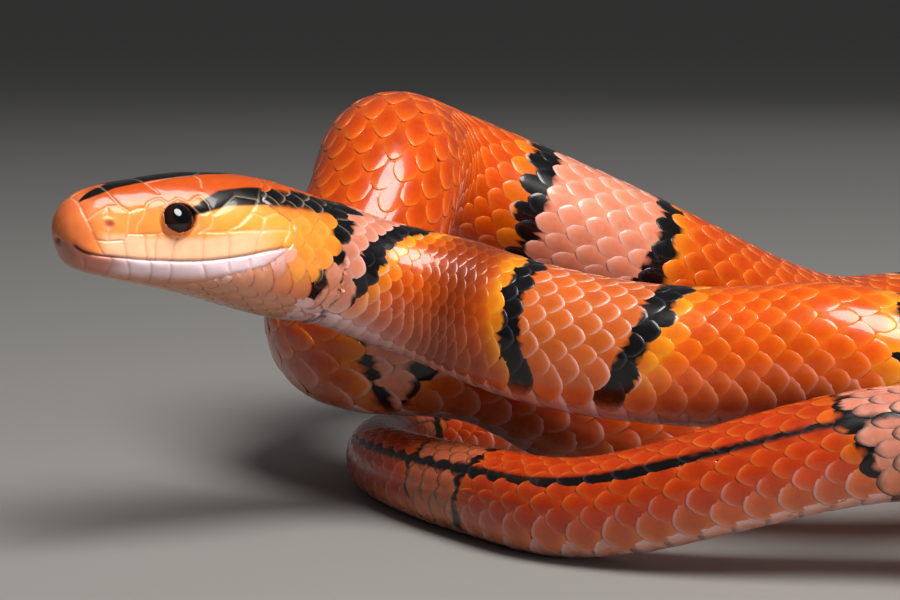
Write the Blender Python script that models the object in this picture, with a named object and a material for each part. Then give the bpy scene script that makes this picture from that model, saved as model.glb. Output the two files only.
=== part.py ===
"""A red bamboo snake at life size, resting in loose coils with its head raised.

The body is one sweep along a spine curve: a straight head, then a smooth curve through the
places where the spine lies. It is parted by thin cuts into head, lower jaw, eyes, neck,
eight trunk lengths and two tail lengths. Lengths are in millimetres in this script and in
metres in the scene. +Z is up, the floor is z = 0, and the snake's left side faces -Y.
"""

import math

import bmesh
import bpy
import numpy as np
from mathutils import Matrix, Vector

MM = 0.001

# Driving dimensions
TOTAL_LENGTH = 800.0
VENT_AT = 655.0
NAPE_AT = 25.0
MOUTH_CORNER_AT = 19.3
CUT_GAP = 0.3
FLOOR_SINK = 0.15

# The middle of the whole snake's outline on the floor, which becomes the origin
OUTLINE_MIDDLE = (52.582, 44.794)

# Head: place of the snout's tip, turn away from -X towards the viewer's side, and nose-up pitch
SNOUT = Vector((-33.3, -1.3, 26.3))
HEAD_YAW = math.radians(33.0)
HEAD_PITCH = math.radians(-3.4)

# Where the spine lies behind the head: x, y, lift of the belly above the floor, and how far
# the back leans towards +Y for each unit of height
SPINE = (
    (-9.3, 13.9, 18.05, 0.0),
    (-5.2, 15.0, 16.35, 0.0),
    (0.4, 14.8, 14.3, 0.0),
    (6.0, 12.7, 12.4, 0.0),
    (11.0, 10.5, 11.35, 0.0),
    (15.5, 9.0, 10.8, 0.0),
    (20.0, 8.0, 10.5, 0.0),
    (27.5, 6.6, 10.6, 0.0),
    (34.0, 5.2, 11.05, 0.0),
    (40.5, 4.8, 9.7, 0.0),
    (49.0, 5.8, 9.8, 0.0),
    (59.0, 10.0, 13.2, 0.0),
    (70.0, 17.5, 16.0, 0.0),
    (80.0, 26.5, 16.2, 0.0),
    (90.0, 37.5, 13.0, 0.0),
    (99.0, 49.0, 7.0, 0.0),
    (106.0, 62.0, 1.6, 0.0),
    (108.0, 77.0, 0.0, 0.0),
    (101.0, 92.0, 0.0, 0.0),
    (85.0, 101.0, 0.0, 0.0),
    (66.0, 98.0, 0.0, -0.1),
    (45.3, 84.0, 0.5, -0.3),
    (24.4, 68.9, 9.8, -0.6),
    (8.8, 66.0, 17.0, -0.7),
    (-4.0, 60.9, 22.7, -0.75),
    (-6.6, 51.4, 22.7, -0.75),
    (-7.1, 48.3, 20.2, -0.66),
    (-11.3, 38.2, 9.5, -0.5),
    (-8.3, 31.5, 8.1, -0.4),
    (3.0, 28.3, 7.6, -0.25),
    (14.0, 29.5, 1.8, -0.1),
    (22.0, 29.8, 0.0, 0.0),
    (40.0, 30.0, 0.0, 0.0),
    (62.0, 30.0, 0.0, 0.0),
    (84.0, 30.0, 0.0, 0.0),
    (105.0, 30.0, 0.0, 0.0),
    (121.0, 26.5, 0.0, 0.0),
    (131.5, 16.0, 0.0, 0.0),
    (132.0, 2.0, 0.0, 0.0),
    (122.0, -8.0, 0.0, 0.0),
    (104.0, -12.5, 0.0, 0.0),
    (83.0, -13.5, 0.0, 0.0),
    (64.0, -12.0, 1.6, 0.0),
    (50.0, -9.7, 5.4, 0.0),
    (38.0, -7.8, 6.8, 0.0),
    (28.2, -6.6, 4.9, 0.0),
    (21.4, -5.2, 2.9, 0.0),
    (14.9, -2.6, 0.9, 0.0),
    (9.0, 1.2, 0.0, 0.0),
    (4.8, 6.6, 0.0, 0.0),
    (0.6, 12.6, 0.0, 0.0),
    (-3.0, 19.0, 0.0, 0.0),
    (-5.8, 25.6, 0.0, 0.0),
    (-7.0, 33.0, 0.0, 0.0),
    (-5.2, 40.2, 0.0, 0.0),
    (0.0, 45.6, 0.0, 0.0),
    (7.0, 48.2, 0.0, 0.0),
    (17.0, 48.8, 0.0, 0.0),
    (33.0, 49.0, 0.0, 0.0),
    (54.0, 51.0, 0.0, 0.0),
    (70.0, 57.5, 0.0, 0.0),
    (85.0, 67.7, 0.0, 0.0),
)

# Girth along the body: distance from the snout, half width, height of the back and depth
# of the belly from the spine
GIRTH = (
    (25.0, 5.7, 5.7, 5.8),
    (29.0, 5.6, 5.55, 5.75),
    (34.0, 5.8, 5.95, 5.8),
    (40.0, 6.15, 6.35, 6.1),
    (48.0, 6.3, 6.4, 6.3),
    (60.0, 6.3, 6.35, 6.2),
    (90.0, 6.6, 6.6, 6.3),
    (150.0, 7.0, 7.0, 6.6),
    (240.0, 7.6, 7.6, 7.1),
    (340.0, 7.8, 7.8, 7.3),
    (430.0, 7.5, 7.5, 7.0),
    (520.0, 6.5, 6.5, 6.1),
    (590.0, 5.6, 5.6, 5.3),
    (640.0, 4.75, 4.8, 4.6),
    (660.0, 4.4, 4.4, 4.25),
    (700.0, 3.4, 3.4, 3.25),
    (740.0, 2.5, 2.5, 2.4),
    (775.0, 1.6, 1.6, 1.5),
    (793.0, 0.95, 0.95, 0.9),
    (800.0, 0.45, 0.45, 0.42),
)

# Squareness of the body's sections: of the back, and of the belly at the nape and farther on
BACK_SQUARENESS = 2.05
THROAT_SQUARENESS = 2.1
BELLY_SQUARENESS = 2.45
BELLY_SQUARE_OVER = 20.0

# Head sections: distance from the lower jaw's tip, half width, height of the crown and of
# the chin and of the widest level, all from the mouth line's level, and squareness of the
# upper half
HEAD_SECTIONS = (
    (-0.75, 0.55, 3.15, 2.05, 2.6, 2.0),
    (-0.62, 1.05, 3.7, 1.6, 2.55, 2.0),
    (-0.35, 1.65, 4.3, 1.0, 2.4, 2.1),
    (0.0, 2.1, 4.83, 0.3, 2.1, 2.15),
    (0.4, 2.5, 5.22, -0.35, 1.75, 2.2),
    (1.0, 2.9, 5.62, -0.8, 1.3, 2.3),
    (2.0, 3.3, 6.1, -1.15, 0.9, 2.35),
    (3.5, 3.7, 6.53, -1.5, 0.6, 2.4),
    (5.5, 4.1, 6.88, -1.9, 0.35, 2.45),
    (7.5, 4.45, 7.24, -2.25, 0.2, 2.5),
    (9.5, 4.85, 7.54, -2.65, 0.1, 2.5),
    (12.0, 5.35, 7.74, -3.2, 0.0, 2.4),
    (15.0, 5.9, 7.74, -4.0, 0.0, 2.25),
    (18.0, 6.15, 7.46, -4.75, 0.0, 2.15),
    (21.0, 6.1, 6.86, -5.35, 0.0, 2.1),
    (25.0, 5.7, 5.7, -5.8, 0.0, 2.05),
)

# The mouth's line seen from the side: distance from the snout's tip and height. Behind the
# corner of the mouth the cut turns down to the throat.
MOUTH_LINE = (
    (-3.0, 1.6),
    (-0.4, 1.6),
    (0.1, 1.25),
    (0.6, 0.85),
    (1.3, 0.65),
    (2.7, 0.52),
    (4.0, 0.44),
    (5.7, 0.33),
    (7.4, 0.27),
    (9.0, 0.25),
    (10.3, 0.29),
    (11.8, 0.42),
    (13.3, 0.63),
    (14.6, 0.84),
    (15.6, 1.05),
    (16.9, 1.33),
    (18.1, 1.53),
    (19.3, 1.6),
    (20.6, 1.2),
    (21.6, -0.2),
    (22.2, -2.4),
    (22.5, -8.5),
)

# Lips: how far they stand out, how wide that swelling is, where it fades in and out
LIP_SWELL = 0.14
LIP_SPREAD = 0.75
LIP_STARTS_OVER = 1.5
LIP_ENDS_AT = 20.5
LIP_ENDS_OVER = 2.0

# Eyes: centre from the snout's tip, from the midline and above the mouth line's level
EYE_AT = (8.85, 3.3, 3.5)
EYE_RADIUS = 1.85
SOCKET_GAP = 0.1

# The brow over each eye and the hollow in front of it: along, up, their spreads and height
BROW = (8.85, 5.0, 2.2, 0.7, 0.16)
LOREAL_HOLLOW = (5.4, 2.9, 1.3, 1.1, -0.12)

# Nostrils: centre along the head and above the mouth line's level, and size of the pit
NOSTRIL_AT = (2.7, 3.25)
NOSTRIL_SIZE = (0.42, 0.75, 0.36)

# The notch in the front of the upper lip
NOTCH_AT = (-0.5, 0.0, 1.5)
NOTCH_SIZE = (0.7, 0.45, 0.6)

# Blocks that part head and jaw: half width, and how far they reach in the side view
BLOCK_HALF_WIDTH = 14.0
BLOCK_FRONT = -3.0
BLOCK_REAR = 30.0
BLOCK_FOOT = -8.5
BLOCK_TOP = 14.0

# Fineness of the meshes
SPINE_STEP = 0.25
SMOOTHING_STEPS = 16
LENGTH_PASSES = 4
DIRECTION_STEP = 0.4
RING_SIDES = 20
RING_STEP = 4.0
HEAD_SIDES = 36
EYE_GRID = (20, 14)
SOCKET_GRID = (24, 16)
PIT_GRID = (12, 8)
SNOUT_STATIONS = (-0.75, -0.7, -0.62, -0.5, -0.3, -0.05, 0.25, 0.6, 1.0, 1.5, 2.0, 2.6, 3.2, 3.9)
HEAD_STATIONS_FROM = 4.6
HEAD_STATION_STEP = 0.8
NAPE_STATIONS = (22.8, 23.8)

# The lengths of the body: name, start and end
LENGTHS = (
    ("neck", NAPE_AT, 62.0),
    ("trunk_1", 62.0, 136.0),
    ("trunk_2", 136.0, 210.0),
    ("trunk_3", 210.0, 284.0),
    ("trunk_4", 284.0, 352.0),
    ("trunk_5", 352.0, 432.0),
    ("trunk_6", 432.0, 506.0),
    ("trunk_7", 506.0, 580.0),
    ("trunk_8", 580.0, VENT_AT),
    ("tail_base", VENT_AT, 728.0),
    ("tail_tip", 728.0, TOTAL_LENGTH),
)

# Plain colours and roughness of the solids
BODY_FINISH = ((0.62, 0.16, 0.03), 0.4)
HEAD_FINISH = ((0.70, 0.24, 0.06), 0.4)
JAW_FINISH = ((0.72, 0.50, 0.42), 0.4)
EYE_FINISH = ((0.015, 0.010, 0.010), 0.08)


def smooth_through(knots, values, start_slope):
    """Second derivatives of the cubic curve through the values, with a set slope at its start."""
    count = len(knots)
    steps = np.diff(knots)
    rises = np.diff(values, axis=0) / steps[:, None]
    system = np.zeros((count, count))
    right = np.zeros_like(values)
    system[0, 0] = 2.0 * steps[0]
    system[0, 1] = steps[0]
    right[0] = 6.0 * (rises[0] - start_slope)
    for i in range(1, count - 1):
        system[i, i - 1] = steps[i - 1]
        system[i, i] = 2.0 * (steps[i - 1] + steps[i])
        system[i, i + 1] = steps[i]
        right[i] = 6.0 * (rises[i] - rises[i - 1])
    system[-1, -1] = 1.0
    return np.linalg.solve(system, right)


def curve_values(knots, values, bends, at):
    """The cubic curve's values at the places asked for."""
    i = np.clip(np.searchsorted(knots, at, side="right") - 1, 0, len(knots) - 2)
    width = (knots[i + 1] - knots[i])[:, None]
    after = (at - knots[i])[:, None]
    before = width - after
    return (
        bends[i] * before**3 / (6.0 * width)
        + bends[i + 1] * after**3 / (6.0 * width)
        + (values[i] / width - bends[i] * width / 6.0) * before
        + (values[i + 1] / width - bends[i + 1] * width / 6.0) * after
    )


def table_value(table, column, at):
    """A column of a table, between its rows by a smooth monotone curve."""
    rows = np.array(table, float)
    x = rows[:, 0]
    y = rows[:, column]
    slopes = np.diff(y) / np.diff(x)
    ends = np.zeros(len(x))
    ends[0] = slopes[0]
    ends[-1] = slopes[-1]
    for i in range(1, len(x) - 1):
        if slopes[i - 1] * slopes[i] > 0.0:
            ends[i] = 2.0 * slopes[i - 1] * slopes[i] / (slopes[i - 1] + slopes[i])
    at = np.clip(np.asarray(at, float), x[0], x[-1])
    i = np.clip(np.searchsorted(x, at, side="right") - 1, 0, len(x) - 2)
    width = x[i + 1] - x[i]
    f = (at - x[i]) / width
    return (
        (1.0 + 2.0 * f) * (1.0 - f) ** 2 * y[i]
        + f * (1.0 - f) ** 2 * width * ends[i]
        + f * f * (3.0 - 2.0 * f) * y[i + 1]
        + f * f * (f - 1.0) * width * ends[i + 1]
    )


def unit(vectors):
    return vectors / np.linalg.norm(vectors, axis=-1, keepdims=True)


def head_axes():
    """Directions of the head: back towards the tail, to its left, and up."""
    back = np.array(
        [
            math.cos(HEAD_YAW) * math.cos(HEAD_PITCH),
            math.sin(HEAD_YAW) * math.cos(HEAD_PITCH),
            math.sin(HEAD_PITCH),
        ]
    )
    left = unit(np.cross(back, [0.0, 0.0, 1.0]))
    return back, left, np.cross(left, back)


def lay_spine():
    """Finely spaced places along the spine: distance from the snout, point and lean of the back."""
    back = head_axes()[0]
    nape = np.array(SNOUT) + back * NAPE_AT
    girth_depth = table_value(GIRTH, 3, NAPE_AT)
    first = (nape[0], nape[1], nape[2] - girth_depth + FLOOR_SINK, 0.0)
    rows = np.array((first,) + SPINE)
    chords = np.linalg.norm(np.diff(rows[:, :3], axis=0), axis=1)
    knots = np.concatenate([[0.0], np.cumsum(chords)])
    start_slope = np.array([back[0], back[1], back[2], 0.0])
    bends = smooth_through(knots, rows, start_slope)
    at = np.arange(0.0, knots[-1], SPINE_STEP)
    values = curve_values(knots, rows, bends, at)
    values[:, 2] = np.maximum(values[:, 2], 0.0)
    before = SPINE_STEP * np.arange(SMOOTHING_STEPS, 0, -1)
    padded = np.vstack(
        [
            values[0] - np.outer(before, start_slope),
            values,
            values[-1] + np.outer(before[::-1], (values[-1] - values[-2]) / SPINE_STEP),
        ]
    )
    weights = np.hanning(2 * SMOOTHING_STEPS + 1)
    weights /= weights.sum()
    columns = [np.convolve(column, weights, mode="valid") for column in padded.T]
    values = np.column_stack(columns)
    lift = np.maximum(values[:, 2], 0.0)
    along = NAPE_AT + at
    for _ in range(LENGTH_PASSES):
        height = table_value(GIRTH, 3, along) + lift - FLOOR_SINK
        points = np.column_stack([values[:, 0], values[:, 1], height])
        lengths = np.linalg.norm(np.diff(points, axis=0), axis=1)
        along = NAPE_AT + np.concatenate([[0.0], np.cumsum(lengths)])
    return along, points, values[:, 3]


SPINE_ALONG, SPINE_POINTS, SPINE_LEAN = lay_spine()


def spine_point(along):
    """Points of the spine at distances from the snout."""
    along = np.atleast_1d(np.asarray(along, float))
    back = head_axes()[0]
    inside = np.column_stack([np.interp(along, SPINE_ALONG, SPINE_POINTS[:, k]) for k in range(3)])
    ahead = np.array(SNOUT) + along[:, None] * back
    return np.where((along < NAPE_AT)[:, None], ahead, inside)


def spine_frame(along):
    """Point, direction to the tail, to the snake's left and to its back, at each distance."""
    along = np.atleast_1d(np.asarray(along, float))
    tailward = unit(spine_point(along + DIRECTION_STEP) - spine_point(along - DIRECTION_STEP))
    tailward = np.where((along <= NAPE_AT)[:, None], head_axes()[0], tailward)
    lean = np.interp(along, SPINE_ALONG, SPINE_LEAN)
    hint = np.column_stack([np.zeros(len(along)), lean, np.ones(len(along))])
    left = unit(np.cross(tailward, hint))
    return spine_point(along), tailward, left, np.cross(left, tailward)


def ring(angles, half_width, above, below, upper, lower):
    """Points of a cross-section, as (to the left, towards the back), for angles from the back."""
    side = np.sin(angles)
    height = np.cos(angles)
    power = np.where(height > 0.0, upper, lower)
    reach = np.where(height > 0.0, above, below)
    return (
        half_width * np.sign(side) * np.abs(side) ** (2.0 / power),
        reach * np.sign(height) * np.abs(height) ** (2.0 / power),
    )


def body_section(along, angles):
    """A cross-section of the body behind the nape."""
    half_width = table_value(GIRTH, 1, along)
    above = table_value(GIRTH, 2, along)
    below = table_value(GIRTH, 3, along)
    share = np.clip((along - NAPE_AT) / BELLY_SQUARE_OVER, 0.0, 1.0)
    squareness = THROAT_SQUARENESS + (BELLY_SQUARENESS - THROAT_SQUARENESS) * share
    return ring(angles, half_width, above, below, BACK_SQUARENESS, squareness)


def mouth_level(along):
    """Height of the mouth's line, held at its corner's height behind the corner."""
    rows = np.array([row for row in MOUTH_LINE if row[0] <= MOUTH_CORNER_AT])
    return np.interp(along, rows[:, 0], rows[:, 1])


def swelling(form, along, up):
    """A rounded swelling or hollow in the head's side view."""
    middle, height, length, depth, size = form
    return size * np.exp(-(((along - middle) / length) ** 2) - ((up - height) / depth) ** 2)


def head_section(along, angles):
    """A cross-section of the head: the sections' outline with the lips and the brow on it."""
    half_width = table_value(HEAD_SECTIONS, 1, along)
    above = table_value(HEAD_SECTIONS, 2, along)
    below = -table_value(HEAD_SECTIONS, 3, along)
    level = table_value(HEAD_SECTIONS, 4, along)
    upper = table_value(HEAD_SECTIONS, 5, along)
    left, up = ring(angles, half_width, above - level, below + level, upper, THROAT_SQUARENESS)
    up = up + level
    sideways = np.abs(np.sin(angles)) ** 0.5
    near_mouth = np.exp(-(((up - mouth_level(along)) / LIP_SPREAD) ** 2))
    ending = np.clip((LIP_ENDS_AT - along) / LIP_ENDS_OVER, 0.0, 1.0)
    starting = np.clip(along / LIP_STARTS_OVER, 0.0, 1.0)
    outward = LIP_SWELL * near_mouth * ending * starting
    outward = outward + swelling(BROW, along, up) + swelling(LOREAL_HOLLOW, along, up)
    return left + np.sign(left) * sideways * outward, up


def ring_angles(sides):
    """Angles round a cross-section from the back, set so that an edge lies level at its top and foot."""
    return (np.arange(sides) + 0.5) * (2.0 * math.pi / sides)


def head_points(along, left, up):
    """Points given along the head, to its left and above the mouth line's level."""
    back_way, left_way, up_way = head_axes()
    return (
        np.array(SNOUT)
        + np.multiply.outer(np.asarray(along, float), back_way)
        + np.multiply.outer(np.asarray(left, float), left_way)
        + np.multiply.outer(np.asarray(up, float), up_way)
    )


def centred(points):
    """Points moved so that the outline's middle is over the origin, in metres."""
    return (np.array(points, float) - np.array([*OUTLINE_MIDDLE, 0.0])) * MM


def mesh_object(name, mesh, group):
    """An object of a mesh, with its faces turned outwards, in a collection."""
    work = bmesh.new()
    work.from_mesh(mesh)
    bmesh.ops.recalc_face_normals(work, faces=work.faces)
    work.to_mesh(mesh)
    work.free()
    mesh.polygons.foreach_set("use_smooth", [True] * len(mesh.polygons))
    made = bpy.data.objects.new(name, mesh)
    group.objects.link(made)
    return made


def tube(name, rings, group):
    """A closed body through rings of equally many points, kept above the floor."""
    sides = len(rings[0])
    points = centred(np.vstack(rings))
    points[:, 2] = np.maximum(points[:, 2], 0.0)
    faces = [tuple(range(sides))]
    for i in range(len(rings) - 1):
        for k in range(sides):
            after = (k + 1) % sides
            a = i * sides
            faces.append((a + k, a + after, a + sides + after, a + sides + k))
    last = (len(rings) - 1) * sides
    faces.append(tuple(last + k for k in range(sides)))
    mesh = bpy.data.meshes.new(name)
    mesh.from_pydata([tuple(p) for p in points], [], faces)
    return mesh_object(name, mesh, group)


def body_length(name, start, end, group):
    """One length of the body, its ends drawn in from the cuts by half a gap."""
    angles = ring_angles(RING_SIDES)
    steps = max(2, round((end - start) / RING_STEP))
    rings = []
    for along in np.linspace(start, end, steps + 1):
        point, tailward, left, up = (row[0] for row in spine_frame(along))
        inward = 0.0
        if along == start:
            inward = CUT_GAP / 2.0
        elif along == end and end < TOTAL_LENGTH:
            inward = -CUT_GAP / 2.0
        out, high = body_section(along, angles)
        middle = point + inward * tailward
        rings.append(middle + np.outer(out, left) + np.outer(high, up))
    return tube(name, rings, group)


def whole_head(name, group):
    """The head and jaw as one body, before the mouth is cut."""
    angles = ring_angles(HEAD_SIDES)
    middle = np.arange(HEAD_STATIONS_FROM, NAPE_STATIONS[0] - HEAD_STATION_STEP, HEAD_STATION_STEP)
    stations = [*SNOUT_STATIONS, *middle, *NAPE_STATIONS, NAPE_AT - CUT_GAP / 2.0]
    rings = []
    for along in stations:
        out, high = head_section(along, angles)
        rings.append(head_points(np.full(len(angles), along), out, high))
    return tube(name, rings, group)


def offset_line(line, distance):
    """A line in the side view moved across itself."""
    line = np.array(line)
    ahead = unit(np.gradient(line, axis=0))
    return line + distance * np.column_stack([-ahead[:, 1], ahead[:, 0]])


def side_block(name, outline, group):
    """A block as wide as the head, cut to an outline in the head's side view."""
    outline = np.array(outline)
    count = len(outline)
    left_face = head_points(outline[:, 0], np.full(count, BLOCK_HALF_WIDTH), outline[:, 1])
    right_face = head_points(outline[:, 0], np.full(count, -BLOCK_HALF_WIDTH), outline[:, 1])
    faces = [tuple(range(count)), tuple(range(2 * count - 1, count - 1, -1))]
    for k in range(count):
        after = (k + 1) % count
        faces.append((k, after, count + after, count + k))
    mesh = bpy.data.meshes.new(name)
    mesh.from_pydata([tuple(p) for p in centred(np.vstack([left_face, right_face]))], [], faces)
    return mesh_object(name, mesh, group)


def ball(name, centre, sizes, grid, group):
    """An ellipsoid in the head's frame: centre and half sizes along, to the left and up."""
    back_way, left_way, up_way = head_axes()
    columns = (sizes[0] * back_way, sizes[2] * up_way, sizes[1] * left_way)
    middle = centred(head_points(*centre))
    placing = Matrix.Identity(4)
    for k, column in enumerate(columns):
        for row in range(3):
            placing[row][k] = column[row] * MM
    for row in range(3):
        placing[row][3] = middle[row]
    work = bmesh.new()
    bmesh.ops.create_uvsphere(work, u_segments=grid[0], v_segments=grid[1], radius=1.0, matrix=placing)
    mesh = bpy.data.meshes.new(name)
    work.to_mesh(mesh)
    work.free()
    return mesh_object(name, mesh, group)


def cut(body, cutter):
    """Takes the cutter's shape out of a body."""
    cutter.hide_render = True
    cutter.display_type = "WIRE"
    step = body.modifiers.new(cutter.name, "BOOLEAN")
    step.operation = "DIFFERENCE"
    step.solver = "EXACT"
    step.object = cutter


def coat(body, finish):
    """A plain material of this colour and roughness on the body."""
    colour, roughness = finish
    material = bpy.data.materials.new(body.name)
    material.use_nodes = True
    shader = material.node_tree.nodes["Principled BSDF"]
    shader.inputs["Base Color"].default_value = (*colour, 1.0)
    shader.inputs["Roughness"].default_value = roughness
    body.data.materials.append(material)


def nostril_centre(side):
    """Where the nostril's pit is centred on one side of the snout."""
    out, high = head_section(NOSTRIL_AT[0], np.linspace(0.0, math.pi, 361))
    nearest = np.argmin(np.abs(high - NOSTRIL_AT[1]))
    return (NOSTRIL_AT[0], side * out[nearest], NOSTRIL_AT[1])


def build_head(snake, cutters):
    """The upper head and the lower jaw, parted along the mouth's line, and the two eyes."""
    head = whole_head("head", snake)
    jaw = whole_head("lower_jaw", snake)
    above = offset_line(MOUTH_LINE, CUT_GAP / 2.0)
    below = offset_line(MOUTH_LINE, -CUT_GAP / 2.0)
    jaw_corners = [(BLOCK_FRONT, BLOCK_FOOT)]
    head_corners = [(BLOCK_REAR, BLOCK_FOOT), (BLOCK_REAR, BLOCK_TOP), (BLOCK_FRONT, BLOCK_TOP)]
    cut(head, side_block("jaw_block", list(above) + jaw_corners, cutters))
    cut(jaw, side_block("head_block", list(below) + head_corners, cutters))
    socket = EYE_RADIUS + SOCKET_GAP
    for side, word in ((1.0, "left"), (-1.0, "right")):
        centre = (EYE_AT[0], side * EYE_AT[1], EYE_AT[2])
        cut(head, ball("socket_" + word, centre, (socket, socket, socket), SOCKET_GRID, cutters))
        eye = ball("eye_" + word, centre, (EYE_RADIUS, EYE_RADIUS, EYE_RADIUS), EYE_GRID, snake)
        coat(eye, EYE_FINISH)
        cut(head, ball("nostril_cut_" + word, nostril_centre(side), NOSTRIL_SIZE, PIT_GRID, cutters))
    cut(head, ball("notch_cut", NOTCH_AT, NOTCH_SIZE, PIT_GRID, cutters))
    coat(head, HEAD_FINISH)
    coat(jaw, JAW_FINISH)


def build():
    for old in list(bpy.data.objects):
        bpy.data.objects.remove(old, do_unlink=True)
    snake = bpy.data.collections.new("red_bamboo_snake")
    cutters = bpy.data.collections.new("cutters")
    bpy.context.scene.collection.children.link(snake)
    bpy.context.scene.collection.children.link(cutters)
    build_head(snake, cutters)
    for name, start, end in LENGTHS:
        coat(body_length(name, start, end, snake), BODY_FINISH)


build()
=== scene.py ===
"""Looks of a red bamboo snake at life size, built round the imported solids.

One skin runs from snout to tail tip, with the shields of the head pressed into it. Over it lie
the scales as solid plates: rows of overlapping dorsal scales, broad scutes under the belly and
paired ones under the tail. All shapes come from the same spine and sections as the solids.
Lengths are in millimetres until a mesh is made, which is in metres.
"""

import math

import bmesh
import bpy
import numpy as np
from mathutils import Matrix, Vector
from mathutils.kdtree import KDTree


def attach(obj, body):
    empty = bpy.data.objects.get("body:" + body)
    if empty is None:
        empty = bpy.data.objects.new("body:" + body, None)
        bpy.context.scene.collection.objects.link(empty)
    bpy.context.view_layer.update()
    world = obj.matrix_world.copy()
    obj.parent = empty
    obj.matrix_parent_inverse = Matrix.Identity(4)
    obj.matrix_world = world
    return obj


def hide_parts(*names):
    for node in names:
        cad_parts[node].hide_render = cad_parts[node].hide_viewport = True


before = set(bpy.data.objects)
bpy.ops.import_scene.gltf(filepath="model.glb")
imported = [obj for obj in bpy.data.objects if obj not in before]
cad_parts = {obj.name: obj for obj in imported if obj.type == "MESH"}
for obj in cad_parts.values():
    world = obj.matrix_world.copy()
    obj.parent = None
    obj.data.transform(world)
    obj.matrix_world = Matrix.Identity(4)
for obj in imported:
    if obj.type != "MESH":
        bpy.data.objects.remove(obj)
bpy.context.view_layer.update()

MM = 0.001
SEED = 7

# The body's plan, as in the solids
TOTAL_LENGTH = 800.0
VENT_AT = 655.0
NAPE_AT = 25.0
FLOOR_SINK = 0.15
OUTLINE_MIDDLE = (52.582, 44.794)
SNOUT = Vector((-33.3, -1.3, 26.3))
HEAD_YAW = math.radians(33.0)
HEAD_PITCH = math.radians(-3.4)

# Where the spine lies: x, y, lift of the belly, lean of the back
SPINE = (
    (-9.3, 13.9, 18.05, 0), (-5.2, 15, 16.35, 0), (0.4, 14.8, 14.3, 0), (6, 12.7, 12.4, 0),
    (11, 10.5, 11.35, 0), (15.5, 9, 10.8, 0), (20, 8, 10.5, 0), (27.5, 6.6, 10.6, 0), (34, 5.2, 11.05, 0),
    (40.5, 4.8, 9.7, 0), (49, 5.8, 9.8, 0), (59, 10, 13.2, 0), (70, 17.5, 16, 0), (80, 26.5, 16.2, 0),
    (90, 37.5, 13, 0), (99, 49, 7, 0), (106, 62, 1.6, 0), (108, 77, 0, 0), (101, 92, 0, 0),
    (85, 101, 0, 0), (66, 98, 0, -0.1), (45.3, 84, 0.5, -0.3), (24.4, 68.9, 9.8, -0.6),
    (8.8, 66, 17, -0.7), (-4, 60.9, 22.7, -0.75), (-6.6, 51.4, 22.7, -0.75), (-7.1, 48.3, 20.2, -0.66),
    (-11.3, 38.2, 9.5, -0.5), (-8.3, 31.5, 8.1, -0.4), (3, 28.3, 7.6, -0.25), (14, 29.5, 1.8, -0.1),
    (22, 29.8, 0, 0), (40, 30, 0, 0), (62, 30, 0, 0), (84, 30, 0, 0), (105, 30, 0, 0), (121, 26.5, 0, 0),
    (131.5, 16, 0, 0), (132, 2, 0, 0), (122, -8, 0, 0), (104, -12.5, 0, 0), (83, -13.5, 0, 0),
    (64, -12, 1.6, 0), (50, -9.7, 5.4, 0), (38, -7.8, 6.8, 0), (28.2, -6.6, 4.9, 0), (21.4, -5.2, 2.9, 0),
    (14.9, -2.6, 0.9, 0), (9, 1.2, 0, 0), (4.8, 6.6, 0, 0), (0.6, 12.6, 0, 0), (-3, 19, 0, 0),
    (-5.8, 25.6, 0, 0), (-7, 33, 0, 0), (-5.2, 40.2, 0, 0), (0, 45.6, 0, 0), (7, 48.2, 0, 0),
    (17, 48.8, 0, 0), (33, 49, 0, 0), (54, 51, 0, 0), (70, 57.5, 0, 0), (85, 67.7, 0, 0),
)

# Girth: distance from the snout, half width, height of the back, depth of the belly
GIRTH = (
    (25, 5.7, 5.7, 5.8), (29, 5.6, 5.55, 5.75), (34, 5.8, 5.95, 5.8), (40, 6.15, 6.35, 6.1),
    (48, 6.3, 6.4, 6.3), (60, 6.3, 6.35, 6.2), (90, 6.6, 6.6, 6.3), (150, 7, 7, 6.6),
    (240, 7.6, 7.6, 7.1), (340, 7.8, 7.8, 7.3), (430, 7.5, 7.5, 7), (520, 6.5, 6.5, 6.1),
    (590, 5.6, 5.6, 5.3), (640, 4.75, 4.8, 4.6), (660, 4.4, 4.4, 4.25), (700, 3.4, 3.4, 3.25),
    (740, 2.5, 2.5, 2.4), (775, 1.6, 1.6, 1.5), (793, 0.95, 0.95, 0.9), (800, 0.45, 0.45, 0.42),
)

# Head sections: distance from the snout, half width, crown, chin, widest level, squareness above
HEAD_SECTIONS = (
    (-0.75, 0.55, 3.15, 2.05, 2.6, 2), (-0.62, 1.05, 3.7, 1.6, 2.55, 2), (-0.35, 1.65, 4.3, 1, 2.4, 2.1),
    (0, 2.1, 4.83, 0.3, 2.1, 2.15), (0.4, 2.5, 5.22, -0.35, 1.75, 2.2), (1, 2.9, 5.62, -0.8, 1.3, 2.3),
    (2, 3.3, 6.1, -1.15, 0.9, 2.35), (3.5, 3.7, 6.53, -1.5, 0.6, 2.4), (5.5, 4.1, 6.88, -1.9, 0.35, 2.45),
    (7.5, 4.45, 7.24, -2.25, 0.2, 2.5), (9.5, 4.85, 7.54, -2.65, 0.1, 2.5),
    (12, 5.35, 7.74, -3.2, 0, 2.4), (15, 5.9, 7.74, -4, 0, 2.25), (18, 6.15, 7.46, -4.75, 0, 2.15),
    (21, 6.1, 6.86, -5.35, 0, 2.1), (25, 5.7, 5.7, -5.8, 0, 2.05),
)

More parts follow.
